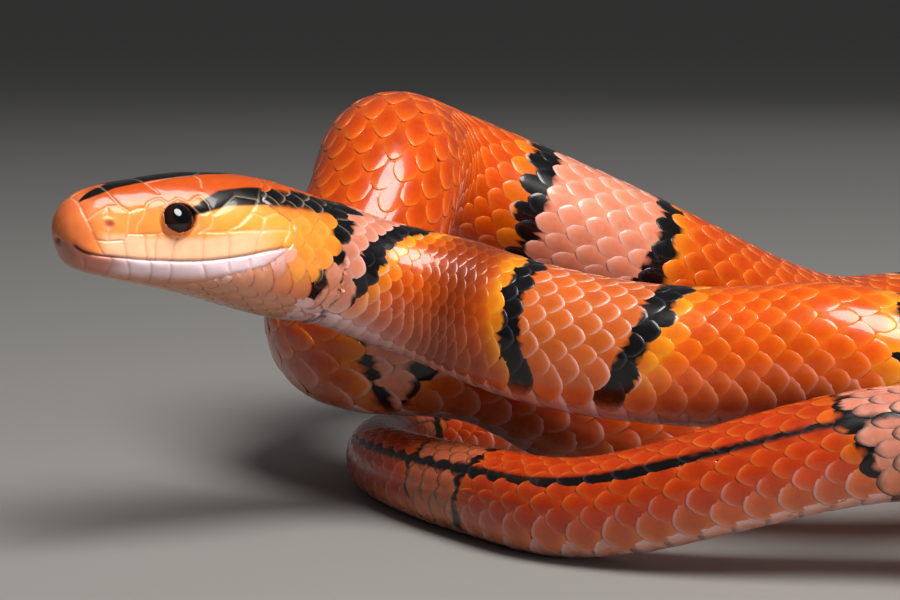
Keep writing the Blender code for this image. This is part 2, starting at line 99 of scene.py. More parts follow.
# The mouth's line from the side: distance from the snout and height, as far as its corner
MOUTH_LINE = (
    (-0.4, 1.6), (0.1, 1.25), (0.6, 0.85), (1.3, 0.65), (2.7, 0.52), (4, 0.44), (5.7, 0.33), (7.4, 0.27),
    (9, 0.25), (10.3, 0.29), (11.8, 0.42), (13.3, 0.63), (14.6, 0.84), (15.6, 1.05), (16.9, 1.33),
    (18.1, 1.53), (19.3, 1.6),
)
EYE_AT = (8.85, 3.3, 3.5)
EYE_RADIUS = 1.85
EYE_TILT = math.radians(27.5)
EYE_OPENING = (1.42, 1.27)
NOSTRIL_AT = (2.7, 3.25)
NOTCH_UP = 1.62
LIP_SWELL = 0.14
LIP_SPREAD = 0.75
SPINE_STEP = 0.25
SMOOTHING_STEPS = 16

# Where the skin and its measures begin, ahead of the snout's plane
FRONT_END = -0.75


def smooth_through(knots, values, start_slope):
    """Second derivatives of the cubic curve through the values, with a set slope at its start."""
    count = len(knots)
    steps = np.diff(knots)
    rises = np.diff(values, axis=0) / steps[:, None]
    system = np.zeros((count, count))
    right = np.zeros_like(values)
    system[0, 0] = 2.0 * steps[0]
    system[0, 1] = steps[0]
    right[0] = 6.0 * (rises[0] - start_slope)
    for i in range(1, count - 1):
        system[i, i - 1] = steps[i - 1]
        system[i, i] = 2.0 * (steps[i - 1] + steps[i])
        system[i, i + 1] = steps[i]
        right[i] = 6.0 * (rises[i] - rises[i - 1])
    system[-1, -1] = 1.0
    return np.linalg.solve(system, right)


def curve_values(knots, values, bends, at):
    """The cubic curve's values at the places asked for."""
    i = np.clip(np.searchsorted(knots, at, side="right") - 1, 0, len(knots) - 2)
    width = (knots[i + 1] - knots[i])[:, None]
    after = (at - knots[i])[:, None]
    before = width - after
    return (
        bends[i] * before**3 / (6.0 * width)
        + bends[i + 1] * after**3 / (6.0 * width)
        + (values[i] / width - bends[i] * width / 6.0) * before
        + (values[i + 1] / width - bends[i + 1] * width / 6.0) * after
    )


def table_value(table, column, at):
    """A column of a table, between its rows by a smooth monotone curve."""
    rows = np.array(table, float)
    x = rows[:, 0]
    y = rows[:, column]
    slopes = np.diff(y) / np.diff(x)
    ends = np.zeros(len(x))
    ends[0] = slopes[0]
    ends[-1] = slopes[-1]
    for i in range(1, len(x) - 1):
        if slopes[i - 1] * slopes[i] > 0.0:
            ends[i] = 2.0 * slopes[i - 1] * slopes[i] / (slopes[i - 1] + slopes[i])
    at = np.clip(np.asarray(at, float), x[0], x[-1])
    i = np.clip(np.searchsorted(x, at, side="right") - 1, 0, len(x) - 2)
    width = x[i + 1] - x[i]
    f = (at - x[i]) / width
    return (
        (1.0 + 2.0 * f) * (1.0 - f) ** 2 * y[i]
        + f * (1.0 - f) ** 2 * width * ends[i]
        + f * f * (3.0 - 2.0 * f) * y[i + 1]
        + f * f * (f - 1.0) * width * ends[i + 1]
    )


def line_value(line, at):
    """Straight interpolation in a list of pairs."""
    rows = np.array(line, float)
    return np.interp(at, rows[:, 0], rows[:, 1])


def ease(value, low, high):
    """0 below low, 1 above high and a smooth rise between."""
    f = np.clip((value - low) / (high - low), 0.0, 1.0)
    return f * f * (3.0 - 2.0 * f)


def fall(value, low, high):
    """1 below low, 0 above high and a smooth fall between."""
    return 1.0 - ease(value, low, high)


def bump(value, middle, width):
    return np.exp(-(((value - middle) / width) ** 2))


def unit(vectors):
    return vectors / np.maximum(np.linalg.norm(vectors, axis=-1, keepdims=True), 1e-12)


def head_axes():
    """Directions of the head: back towards the tail, to its left, and up."""
    level = math.cos(HEAD_PITCH)
    back = np.array([math.cos(HEAD_YAW) * level, math.sin(HEAD_YAW) * level, math.sin(HEAD_PITCH)])
    left = unit(np.cross(back, [0.0, 0.0, 1.0]))
    return back, left, np.cross(left, back)


def lay_spine():
    """Finely spaced places along the spine: distance from the snout, point and lean of the back."""
    back = head_axes()[0]
    nape = np.array(SNOUT) + back * NAPE_AT
    first = (nape[0], nape[1], nape[2] - table_value(GIRTH, 3, NAPE_AT) + FLOOR_SINK, 0.0)
    rows = np.array((first,) + SPINE)
    chords = np.linalg.norm(np.diff(rows[:, :3], axis=0), axis=1)
    knots = np.concatenate([[0.0], np.cumsum(chords)])
    start_slope = np.append(back, 0.0)
    bends = smooth_through(knots, rows, start_slope)
    at = np.arange(0.0, knots[-1], SPINE_STEP)
    values = curve_values(knots, rows, bends, at)
    values[:, 2] = np.maximum(values[:, 2], 0.0)
    before = SPINE_STEP * np.arange(SMOOTHING_STEPS, 0, -1)
    ahead = values[0] - np.outer(before, start_slope)
    behind = values[-1] + np.outer(before[::-1], (values[-1] - values[-2]) / SPINE_STEP)
    padded = np.vstack([ahead, values, behind])
    weights = np.hanning(2 * SMOOTHING_STEPS + 1)
    weights /= weights.sum()
    values = np.column_stack([np.convolve(column, weights, mode="valid") for column in padded.T])
    lift = np.maximum(values[:, 2], 0.0)
    along = NAPE_AT + at
    for _ in range(4):
        height = table_value(GIRTH, 3, along) + lift - FLOOR_SINK
        points = np.column_stack([values[:, 0], values[:, 1], height])
        lengths = np.linalg.norm(np.diff(points, axis=0), axis=1)
        along = NAPE_AT + np.concatenate([[0.0], np.cumsum(lengths)])
    return along, points, values[:, 3]


SPINE_ALONG, SPINE_POINTS, SPINE_LEAN = lay_spine()
BACK_WAY, LEFT_WAY, UP_WAY = head_axes()


def spine_point(along):
    inside = np.column_stack([np.interp(along, SPINE_ALONG, SPINE_POINTS[:, k]) for k in range(3)])
    ahead = np.array(SNOUT) + along[:, None] * BACK_WAY
    return np.where((along < NAPE_AT)[:, None], ahead, inside)


def spine_frame(along):
    """Point, direction to the snake's left and to its back, at each distance."""
    tailward = unit(spine_point(along + 0.4) - spine_point(along - 0.4))
    tailward = np.where((along <= NAPE_AT)[:, None], BACK_WAY, tailward)
    lean = np.interp(along, SPINE_ALONG, SPINE_LEAN)
    hint = np.column_stack([np.zeros(len(along)), lean, np.ones(len(along))])
    left = unit(np.cross(tailward, hint))
    return spine_point(along), left, np.cross(left, tailward)


def ring(angles, half_width, above, below, upper, lower):
    """A cross-section, as (to the left, towards the back), for angles from the back."""
    side = np.sin(angles)
    height = np.cos(angles)
    power = np.where(height > 0.0, upper, lower)
    reach = np.where(height > 0.0, above, below)
    return (
        half_width * np.sign(side) * np.abs(side) ** (2.0 / power),
        reach * np.sign(height) * np.abs(height) ** (2.0 / power),
    )


def body_section(along, angles):
    """A cross-section of the body behind the nape."""
    half_width, above, below = (table_value(GIRTH, column, along) for column in (1, 2, 3))
    squareness = 2.1 + 0.35 * np.clip((along - NAPE_AT) / 20.0, 0.0, 1.0)
    return ring(angles, half_width, above, below, 2.05, squareness)


def head_section(along, angles):
    """A cross-section of the head: the sections' outline with the lips and the brow on it."""
    half_width, crown, chin, level, upper = (table_value(HEAD_SECTIONS, k, along) for k in range(1, 6))
    left, up = ring(angles, half_width, crown - level, level - chin, upper, 2.1)
    up = up + level
    sideways = np.abs(np.sin(angles)) ** 0.5
    near_mouth = bump(up, line_value(MOUTH_LINE, along), LIP_SPREAD)
    fade = np.clip((20.5 - along) / 2.0, 0.0, 1.0) * np.clip(along / 1.5, 0.0, 1.0)
    swell = LIP_SWELL * near_mouth * fade
    brow = bump(along, EYE_AT[0], 2.2) * bump(up, EYE_AT[2] + 1.5, 0.7)
    hollow = bump(along, 5.4, 1.3) * bump(up, 2.9, 1.1)
    return left + np.sign(left) * sideways * (swell + 0.16 * brow - 0.12 * hollow), up


def section(along, angles):
    """Offsets to the left and up of any cross-section, from the head's or the body's rule."""
    left = np.empty(along.shape)
    up = np.empty(along.shape)
    head = along <= NAPE_AT
    left[head], up[head] = head_section(along[head], angles[head])
    left[~head], up[~head] = body_section(along[~head], angles[~head])
    return left, up


def surface(along, angles):
    """Points of the solids' surface at distances from the snout and angles from the back."""
    left, up = section(along, angles)
    points = np.empty(along.shape + (3,))
    head = along <= NAPE_AT
    on_line = np.array(SNOUT) + along[head, None] * BACK_WAY
    points[head] = on_line + left[head, None] * LEFT_WAY + up[head, None] * UP_WAY
    middle, left_way, up_way = spine_frame(along[~head])
    points[~head] = middle + left[~head, None] * left_way + up[~head, None] * up_way
    return points


# The way round the body is measured as a share of the half girth: 0 at the mid-line of the
# back, 1 at the mid-line of the belly, positive on the left.
STATIONS = np.concatenate([np.arange(FRONT_END, 26.0, 0.25), np.arange(26.0, TOTAL_LENGTH + 0.5, 1.0)])
SHARES = np.linspace(0.0, 1.0, 121)


def arc_tables():
    """Half girth at each station, and the angle of each share of it."""
    angles = np.linspace(0.0, math.pi, 241)
    halves = []
    rows = []
    for at in STATIONS:
        left, up = section(np.full(len(angles), at), angles)
        lengths = np.concatenate([[0.0], np.cumsum(np.hypot(np.diff(left), np.diff(up)))])
        halves.append(lengths[-1])
        rows.append(np.interp(SHARES * lengths[-1], lengths, angles))
    return np.array(halves), np.array(rows)


HALF_GIRTHS, ANGLE_ROWS = arc_tables()


def half_girth(along):
    return np.interp(along, STATIONS, HALF_GIRTHS)


def angle_at(along, share):
    """Angle from the back for a share of the half girth, wrapped under the belly."""
    share = np.mod(share + 1.0, 2.0) - 1.0
    at = np.clip(along, STATIONS[0], STATIONS[-1])
    i = np.clip(np.searchsorted(STATIONS, at, side="right") - 1, 0, len(STATIONS) - 2)
    f = (at - STATIONS[i]) / (STATIONS[i + 1] - STATIONS[i])
    place = np.abs(share) * (len(SHARES) - 1)
    k = np.clip(place.astype(int), 0, len(SHARES) - 2)
    g = place - k
    low = ANGLE_ROWS[i, k] * (1.0 - g) + ANGLE_ROWS[i, k + 1] * g
    high = ANGLE_ROWS[i + 1, k] * (1.0 - g) + ANGLE_ROWS[i + 1, k + 1] * g
    return np.where(share < 0.0, -1.0, 1.0) * (low * (1.0 - f) + high * f)


def place(along, share):
    return surface(along, angle_at(along, share))


def lie(along, share):
    """Point, outward normal and lengthwise stretch of the surface."""
    step = 0.2
    turn = 0.008
    point = place(along, share)
    behind = place(along + step, share) - place(along - step, share)
    round_way = place(along, share + turn) - place(along, share - turn)
    return point, unit(np.cross(round_way, behind)), np.linalg.norm(behind, axis=1) / (2.0 * step)


def to_scene(points):
    """Millimetres of the plan to metres of the scene, kept off the floor's underside."""
    moved = points - np.array([OUTLINE_MIDDLE[0], OUTLINE_MIDDLE[1], 0.0])
    moved[:, 2] = np.maximum(moved[:, 2], 0.0)
    return moved * MM


def linear(*colour):
    """A screen colour of 0 to 255 as linear light."""
    c = np.array(colour, float) / 255.0
    return np.where(c <= 0.04045, c / 12.92, ((c + 0.055) / 1.055) ** 2.4)


# Colours of the animal, with some painted light: highlights on sutures and scale edges, a sheen on black,
# lit nostrils, and shade in the neck's folds, nostrils and mouth
ORANGE = linear(228, 96, 6)
DEEP_ORANGE = linear(200, 72, 8)
RED_ORANGE = linear(186, 56, 14)
YELLOW = linear(250, 158, 26)
SADDLE = linear(212, 106, 40)
NAPE_SADDLE = linear(214, 140, 112)
ARM_SADDLE = linear(232, 150, 118)
FLANK = linear(222, 134, 84)
BELLY = linear(216, 156, 140)
BLACK = linear(10, 8, 9)
# Bluish grey of the rear saddles, and a painted sheen on the edges of black scales
BLUE_GREY_SHEEN = linear(104, 104, 126)
SKIN_PINK = linear(206, 146, 128)
HEAD_TOP = linear(192, 76, 16)
HEAD_SIDE = linear(244, 148, 68)
CHEEK = linear(248, 160, 60)
LIP_PALE = linear(252, 204, 170)
LIP_LILAC = linear(246, 218, 226)
CHIN = linear(208, 140, 108)
JAW_FRONT = linear(190, 104, 74)
ROSTRAL = linear(228, 118, 66)
# The nostril's painted light: pale pink as though lit inside, and painted shade at its centre
NOSTRIL_LIT_PINK = linear(214, 122, 92)
NOSTRIL_DEPTH_SHADE = linear(150, 70, 58)
# Painted highlight along the sutures of the upper head and over the black
SUTURE_HIGHLIGHT = linear(255, 226, 186)
SUTURE_DARK = linear(150, 78, 52)
# Painted shade in the neck's folds behind the nape
FOLD_SHADE_BROWN = linear(112, 40, 12)
EYE_RIM = linear(96, 26, 14)
# Pale lilac-white rear edges: partly the scales' own pale edges, partly a painted highlight
PALE_EDGE_AND_GLINT = linear(236, 214, 222)
RIM_SHADE = np.array([0.86, 0.72, 0.66])
HEART_SHADE = np.array([0.74, 0.48, 0.42])
THROAT_SHADE = np.array([0.62, 0.42, 0.38])
TIP_ORANGE = linear(246, 140, 60)

# Saddles on the back: where each begins and ends along the mid-line
SADDLES = (
    (44.8, 62), (78.8, 94.5), (113, 129), (149, 165), (192, 208), (242, 258), (301, 318.5),
    (371.2, 378.7), (418, 433), (468.5, 483.5), (519.5, 533.5), (571.4, 586.4), (620, 635), (669, 679.4),
    (700, 709), (727, 734), (749, 755), (769, 774), (786, 790),
)
NAPE_FRONT = ((0, 25.2), (0.35, 24.2), (0.47, 23.4), (0.55, 22.1), (0.73, 20.7), (1, 20.7))
NAPE_REAR = ((0, 35.8), (0.23, 31.4), (0.42, 29.3), (0.62, 27.9), (1, 27.6))
REACH_DOWN = 0.71

# The narrow saddle where the low coil begins, with a thin line in front
LOW_COIL_SADDLE = 7

# Where the saddles' pale rims give way to the colours of the striped tail
STRIPED_TAIL = (645.0, 665.0)


def mix(a, b, amount):
    return a + (b - a) * np.asarray(amount)[..., None]


def painted(colour, *coats):
    """A colour under coats of paint laid in turn, each given as its colour and how far it covers."""
    for tone, cover in coats:
        colour = mix(colour, tone, cover)
    return colour


def saddle_edges(index, share):
    """Front and rear edge of a saddle at a share of the way down the side."""
    side = np.clip(np.abs(share) / REACH_DOWN, 0.0, 1.2)
    if index < 0:
        return line_value(NAPE_FRONT, np.abs(share)), line_value(NAPE_REAR, np.abs(share))
    front, rear = SADDLES[index]
    width = rear - front
    if index == 0:
        return front + 3.6 * side**2, rear - 5.6 * side**1.3
    narrowing = 0.6 if index == LOW_COIL_SADDLE else 0.2
    return front + 0.12 * width * side**2, rear - narrowing * width * side**2


def markings(along, share, jitter):
    """Shares of saddle, black edge and yellow margin at each place on the body."""
    inside, black, yellow = np.zeros((3,) + along.shape)
    down = np.abs(share)
    low_fade = fall(down, REACH_DOWN - 0.05, REACH_DOWN + 0.02)
    size = np.clip((TOTAL_LENGTH + 40.0 - along) / 500.0, 0.3, 1.0)
    for index in range(-1, len(SADDLES)):
        front, rear = (edge + 0.3 * jitter for edge in saddle_edges(index, share))
        front_line = (2.4 - 0.6 * down) * size
        rear_line = (2.9 - 1.2 * down) * size
        if index == LOW_COIL_SADDLE:
            front_line = 0.8
            rear_line = 1.8 - 0.4 * down
        if index < 0:
            front_line = 1.3 - 0.2 * down
            rear_line = 3.6 - 3.4 * down
        inside = np.maximum(inside, ((along > front) & (along < rear)) * 1.0)
        on_front = (along > front) & (along < front + front_line)
        on_rear = (along < rear) & (along > rear - rear_line)
        black = np.maximum(black, (on_front | on_rear) * low_fade)
        before = bump(along, front - 0.5 * size, 1.1 * size) * (along <= front)
        after = bump(along, rear + 0.6 * size, 1.3 * size) * (along >= rear)
        ahead = 0.35 if index < 0 else 1.0
        strength = (1.0 - 0.45 * ease(front, 150.0, 250.0)) * (1.0 - 0.5 * ease(down, 0.5, 0.75))
        strength = strength * (1.0 - 0.5 * ease(front, 500.0, 560.0))
        yellow = np.maximum(yellow, np.maximum(before * ahead, after) * strength)
    stripe = ease(along, 575.0, 612.0) * fall(np.abs(down - 0.275), 0.022, 0.036)
    return inside, np.maximum(black, stripe), yellow


def body_colour(along, share, jitter):
    """Base colour of the body without the black, with painted shade in the neck's folds, and the share of
    black.
    """
    inside, black, yellow = markings(along, share, jitter)
    down = np.abs(share)
    # Painted shade: the neck's folds around 40 mm are painted dark brown, reaching further along low on
    # the sides
    fold_shade = np.maximum(bump(along, 40.0, 5.0), 0.8 * bump(along, 40.0, 9.0) * ease(down, 0.3, 0.55))
    ground = painted(
        ORANGE,
        (DEEP_ORANGE, 0.55 * ease(along, 150.0, 330.0)),
        (RED_ORANGE, 0.75 * ease(along, 330.0, 640.0)),
        (FOLD_SHADE_BROWN, 0.85 * fold_shade),
    )
    saddle = painted(
        SADDLE,
        (ARM_SADDLE, ease(along, 120.0, 280.0) * fall(along, *STRIPED_TAIL)),
        (NAPE_SADDLE, fall(along, 30.0, 45.0)),
        # Bluish grey on the saddles towards the tail, partly real and partly a painted sheen
        (BLUE_GREY_SHEEN, 0.2 * ease(along, 590.0, 630.0)),
    )
    colour = painted(
        ground,
        (saddle, inside),
        (YELLOW, 0.85 * yellow * (1.0 - inside)),
        (FLANK, 0.75 * ease(down, 0.50, 0.72) * (1.0 - 0.85 * bump(along, 42.0, 11.0))),
        (BELLY, ease(down, 0.70, 0.76)),
        (LIP_LILAC, 0.45 * ease(down, 0.62, 0.72) * fall(along, 28.0, 40.0)),
    )
    return np.clip(colour * (1.0 + 0.10 * jitter[..., None]), 0.0, 1.0), black


# Markings of the head, by distance from the snout: how far out the crown's stripe begins and ends,
# and the angles in degrees of the upper and lower edge of the stripe behind the eye
CROWN_OUTER = (
    (0.55, 1.2), (0.75, 1.45), (1.6, 1.69), (2.4, 1.77), (4, 1.62), (5.6, 1.58), (7.3, 1.54), (9.2, 1.62),
    (11.2, 1.55), (13, 1.3), (15, 0.95), (17, 0.55), (18.2, 0),
)
CROWN_INNER = ((0.55, 1.3), (0.9, 1.2), (1.5, 1), (2.1, 0.86), (3, 0.62), (3.9, 0), (4, -1), (20, -1))
STRIPE_UPPER = (
    (9.6, 57), (10.41, 53), (11.4, 46.5), (12.8, 38), (14, 35), (17.85, 28), (21.75, 22.5), (24, 16),
    (25.5, 6),
)
STRIPE_LOWER = (
    (9.6, 66), (10.3, 61.5), (11.6, 58), (12.4, 55.5), (13.5, 52), (15.4, 50.5), (17.1, 48), (19.8, 48),
    (22.5, 47.5), (25.5, 46),
)


def head_black(along, degrees, left):
    """Share of black on the head from its stripes, soft at their edges."""
    side = np.abs(left)
    turn = np.abs(degrees)
    outer = line_value(CROWN_OUTER, along)
    inner = line_value(CROWN_INNER, along)
    crown = fall(side, outer - 0.07, outer + 0.07) * ease(side, inner - 0.07, inner + 0.07)
    crown = crown * ease(along, 0.6, 0.8) * (along < 18.2) * (turn < 75.0)
    upper = line_value(STRIPE_UPPER, along)
    lower = line_value(STRIPE_LOWER, along)
    behind_eye = ease(turn, upper - 1.0, upper + 1.0) * fall(turn, lower - 1.0, lower + 1.0)
    behind_eye = behind_eye * ease(along, 9.6, 9.9) * (along < 26.0)
    return np.maximum(crown, behind_eye)


def head_colour(along, degrees, up):
    """Base colour of the head without the black stripes."""
    turn = np.abs(degrees)
    low = line_value(MOUTH_LINE, along) - up
    side = ease(turn, 36.0, 60.0)
    lip = ease(low + 2.3, 0.0, 0.7) * fall(along, 14.0, 19.0) * ease(along, 1.4, 3.0)
    under = painted(
        LIP_LILAC,
        (CHIN, ease(low, 0.9, 2.0)),
        (ORANGE, 0.55 * ease(along, 15.5, 20.0) * fall(turn, 105.0, 135.0)),
        (JAW_FRONT, 0.9 * fall(along, 2.0, 5.2)),
    )
    behind_jaw = ease(along, 17.5, 20.5) * fall(turn, 96.0, 118.0)
    return painted(
        HEAD_TOP,
        (HEAD_SIDE, side),
        (CHEEK, ease(along, 10.0, 13.0) * ease(turn, 40.0, 60.0)),
        (ORANGE, (0.5 - 0.35 * side) * ease(along, 17.0, 22.0)),
        (LIP_PALE, 0.75 * lip),
        (ROSTRAL, fall(along, 0.9, 2.4) * 0.85),
        (under, ease(low, -0.03, 0.03) * (1.0 - behind_jaw)),
    )


def tints(along, share, jitter):
    """Colour and share of black anywhere on the animal."""
    angles = angle_at(along, share)
    left, up = section(along, angles)
    degrees = np.degrees(angles)
    body, body_black = body_colour(along, share, jitter)
    colour = mix(head_colour(along, degrees, up), body, ease(along, 22.5, 26.0))
    nape = (along > line_value(NAPE_FRONT, np.abs(share))) & (along < NAPE_AT + 1.0)
    colour = np.where(nape[:, None], body, colour)
    black = np.where(along > 20.0, body_black, 0.0)
    black = np.maximum(black, head_black(along, degrees, left))
    return colour, black


# Columns of scales: the pitch of the scales in a row by distance from the snout
PITCH = (
    (6, 1.9), (16, 1.95), (24, 2), (31, 1.85), (36, 1.3), (40, 1.2), (43, 1.6), (50, 2.4), (70, 2.55),
    (120, 2.9), (200, 3.3), (400, 3.6), (550, 3.3), (655, 2.75), (700, 2.3), (760, 1.8), (800, 1.35),
)
COLUMN_START = 6.0
ROWS_EACH_SIDE = 9
VENTRAL_EDGE = 0.70
FIRST_VENTRAL_AT = 22.5
GULAR_ROWS = 6

# Rows that end, counted from the mid-line of the back, and where
ROW_ENDS = ((5, 480), (4, 646), (7, 670), (3, 694), (8, 716), (2, 738), (6, 762))


def column_tables():
    """Finely spaced distances, and how many columns of scales lie ahead of each."""
    step = 0.5
    at = np.arange(COLUMN_START, TOTAL_LENGTH + step, step)
    pitch = line_value(PITCH, at)
    count = np.concatenate([[0.0], np.cumsum(0.5 * (1.0 / pitch[:-1] + 1.0 / pitch[1:]) * step)])
    return at, count


COLUMN_AT, COLUMN_COUNT = column_tables()
COLUMNS = np.arange(int(COLUMN_COUNT[-1]) + 1)


def column_place(column):
    return np.interp(column, COLUMN_COUNT, COLUMN_AT)


def row_weights(along):
    """Relative widths of the rows 0 to 9 and of the throat's rows, at each distance."""
    rows = ROWS_EACH_SIDE + GULAR_ROWS + 1
    weights = np.ones((len(along), rows))
    for row in range(6, ROWS_EACH_SIDE + 1):
        weights[:, row] = 1.0 + 0.4 * ((row - 6.0) / 3.0) ** 2
    for row, end in ROW_ENDS:
        weights[:, row] *= fall(along, end - 9.0, end + 7.0)
    return weights


def row_place(along, row):
    """Share of the half girth at the middle of a row, and the row's breadth as a share."""
    weights = row_weights(along)
    edge = np.where(along < VENT_AT, VENTRAL_EDGE, VENTRAL_EDGE - 0.02)
    body = weights[:, : ROWS_EACH_SIDE + 1]
    total = 0.5 * body[:, 0] + body[:, 1:].sum(axis=1)
    breadth = body / total[:, None] * edge[:, None]
    row = np.abs(row)
    index = np.arange(len(along))
    inner = np.minimum(row, ROWS_EACH_SIDE)
    ends = np.cumsum(breadth, axis=1) - 0.5 * breadth[:, :1]
    middle = ends[index, inner] - 0.5 * breadth[index, inner]
    wide = breadth[index, inner]
    throat = row > ROWS_EACH_SIDE
    step = (1.0 - edge) / (GULAR_ROWS - 0.5)
    middle = np.where(throat, edge + (row - ROWS_EACH_SIDE - 0.5) * step, middle)
    wide = np.where(throat, step, wide)
    return np.where(row == 0, 0.0, middle), wide, weights[index, np.minimum(row, weights.shape[1] - 1)]


# Where the small scales begin on the head: angle from the back in degrees and distance
SCALED_FROM = (
    (0, 17.9), (10, 18.2), (22, 17.8), (34, 16.9), (45, 16.7), (54, 18.1), (60, 19.2), (70, 19.2),
    (78, 18.9), (83, 18), (88, 16.9), (93, 15.4), (100, 13.5), (112, 11.95), (126, 10.5), (142, 8.8),
    (152, 8.2), (158, 9.4), (166, 10.9), (180, 11.9),
)
COAT_DEPTH = 0.24
THROAT_DEPTH = 0.15


def scaled_from(degrees):
    return line_value(SCALED_FROM, np.abs(degrees))


def skin_depth(along, degrees):
    """How far the skin lies inside the solids: not at all under the shields, shallow on the throat."""
    throat = ease(np.abs(degrees), 86.0, 100.0) * fall(along, 21.5, 24.0)
    full = COAT_DEPTH + (THROAT_DEPTH - COAT_DEPTH) * throat
    begin = scaled_from(degrees)
    return full * ease(along, begin - 0.05, begin + 0.5)


def link(name, data):
    """A new object in the scene."""
    made = bpy.data.objects.new(name, data)
    bpy.context.scene.collection.objects.link(made)
    return made


def paint(mesh, colour):
    """Keeps a colour for each point of a mesh in its tint attribute."""
    layer = mesh.attributes.new("tint", "FLOAT_COLOR", "POINT")
    tint = np.column_stack([colour, np.ones(len(colour))])
    layer.data.foreach_set("color", tint.astype(np.float32).ravel())


def face_corners(faces, size=0, count=1):
    """Corners of the faces of like pieces of so many points, in one row, and where faces start."""
    sizes = np.array([len(face) for face in faces])
    flat = np.concatenate([np.array(face) for face in faces])
    loops = (flat[None, :] + size * np.arange(count)[:, None]).ravel()
    return loops, np.concatenate([[0], np.cumsum(np.tile(sizes, count))[:-1]])


def make_mesh(name, points, corners, colour, uvs):
    """A smooth mesh object from arrays, with its colours and its map for baking."""
    loops, starts = corners
    mesh = bpy.data.meshes.new(name)
    mesh.vertices.add(len(points))
    mesh.vertices.foreach_set("co", points.astype(np.float32).ravel())
    mesh.loops.add(len(loops))
    mesh.loops.foreach_set("vertex_index", loops.astype(np.int32))
    mesh.polygons.add(len(starts))
    mesh.polygons.foreach_set("loop_start", starts.astype(np.int32))
    mesh.update(calc_edges=True)
    mesh.polygons.foreach_set("use_smooth", np.ones(len(starts), bool))
    paint(mesh, colour)
    bake_map = mesh.uv_layers.new(name="OFBake")
    bake_map.data.foreach_set("uv", uvs[loops].astype(np.float32).ravel())
    mesh.validate()
    return link(name, mesh)


# One scale's plan: rings from its middle out to its edge, and the points of each ring
RING_REACH = (0.42, 0.74, 0.92, 1.0)
RING_POINTS = 18
REAR_SHAPE = 1.45
FRONT_SHAPE = 2.2

# Reach given to the points of a plate's foot, which lies under its rim
FOOT = 2.0

# Half the size of a scale's patch on the map for baking
BAKE_PATCH = 0.0015


def plate_plan():
    """Plan places of one plate's top (u to the rear, v to the left, both -1 to 1) and its faces."""
    turn = 2.0 * math.pi * np.arange(RING_POINTS) / RING_POINTS
    power = np.where(np.cos(turn) > 0.0, REAR_SHAPE, FRONT_SHAPE)
    u = np.sign(np.cos(turn)) * np.abs(np.cos(turn)) ** (2.0 / power)
    v = np.sign(np.sin(turn)) * np.abs(np.sin(turn)) ** (2.0 / power)
    plan = [(0.0, 0.0, 0.0)]
    for reach in RING_REACH:
        plan += [(reach * a, reach * b, reach) for a, b in zip(u, v)]
    last = len(plan)
    plan += [(a, b, FOOT) for a, b in zip(u, v)]
    faces = []
    for k in range(RING_POINTS):
        after = (k + 1) % RING_POINTS
        faces.append((0, 1 + k, 1 + after))
        for inner in range(1, last, RING_POINTS):
            outer = inner + RING_POINTS
            faces.append((inner + k, outer + k, outer + after, inner + after))
    faces.append(tuple(last + k for k in range(RING_POINTS - 1, -1, -1)))
    return np.array(plan), faces


def strip_plan(cells_along, cells_across):
    """Plan places of a broad scute's top and its faces: a grid with its rim folded down."""
    us = np.linspace(-1.0, 1.0, cells_along + 1)
    vs = np.linspace(-1.0, 1.0, cells_across + 1)
    plan = [(u, v, max(abs(u), abs(v))) for u in us for v in vs]
    width = cells_across + 1
    faces = []
    for i in range(cells_along):
        for a in range(i * width, i * width + cells_across):
            faces.append((a, a + width, a + width + 1, a + 1))
    rim = list(range(width))
    rim += [i * width + cells_across for i in range(1, cells_along + 1)]
    rim += [cells_along * width + k for k in range(cells_across - 1, -1, -1)]
    rim += [i * width for i in range(cells_along - 1, 0, -1)]
    base = len(plan)
    plan += [plan[a][:2] + (FOOT,) for a in rim]
    count = len(rim)
    for k in range(count):
        after = (k + 1) % count
        faces.append((rim[k], rim[after], base + after, base + k))
    faces.append(tuple(base + k for k in range(count)))
    return np.array(plan), faces


def plate_colour(own, u, v, reach, seen_along, seen_share):
    """Colour of each point of the plates: the markings, with each scale's own shades on it, pale rear
    edges that are partly a painted highlight, and a painted sheen on black.
    """
    along, share, jitter = own["along"], own["share"], own["jitter"]
    colour, black = tints(seen_along, seen_share, jitter)
    saddle = markings(along, share, jitter)[0]
    inside = saddle * ease(along, 20.0, 24.0)
    down = np.abs(share)
    on_head = fall(along, 23.0, 26.0)
    throat = on_head * ease(down, 0.5, 0.62)
    heart = fall(np.hypot(u + 0.12, 0.9 * v), 0.25, 0.85)
    heart = (0.8 - 0.25 * inside) * heart * (1.0 - throat) * (1.0 - 0.6 * on_head)
    colour = mix(colour, colour * HEART_SHADE, heart)
    edge = ease(reach, 0.7, 0.95) * ease(u, -0.3, 0.35)
    # Paler rear edges: pale orange on the ground, pale lilac-white on saddles and low sides, partly real
    # pale edges and partly a painted highlight; most is left off the neck
    pale_share = np.maximum(inside * fall(along, *STRIPED_TAIL), ease(down, 0.42, 0.6))
    bare = 0.8 * (1.0 - inside) * ease(along, 30.0, 36.0) * fall(along, 56.0, 86.0)
    pale = mix(TIP_ORANGE, PALE_EDGE_AND_GLINT, pale_share)
    colour = mix(colour, pale, edge * own["edge"] * (1.0 - throat) * (1.0 - bare))
    colour = mix(colour, colour * RIM_SHADE, ease(reach, 0.93, 0.99) * (1.0 - 0.7 * inside))
    colour = mix(colour, colour * THROAT_SHADE, ease(reach, 0.8, 0.95) * ease(u, -0.5, 0.2) * throat)
    # Black scales: a painted bluish sheen at their rear edges and, on the head, painted pale highlights
    dark = mix(mix(BLACK, BLUE_GREY_SHEEN, 0.16 * edge), SUTURE_HIGHLIGHT, 0.22 * edge * on_head)
    rimmed = ease(along, 590.0, 630.0) * saddle
    rim = ease(np.hypot(np.clip(u, 0.0, 1.0), v), 0.6, 0.85)
    return painted(colour, (dark, black), (BLACK, 0.8 * rimmed * rim))


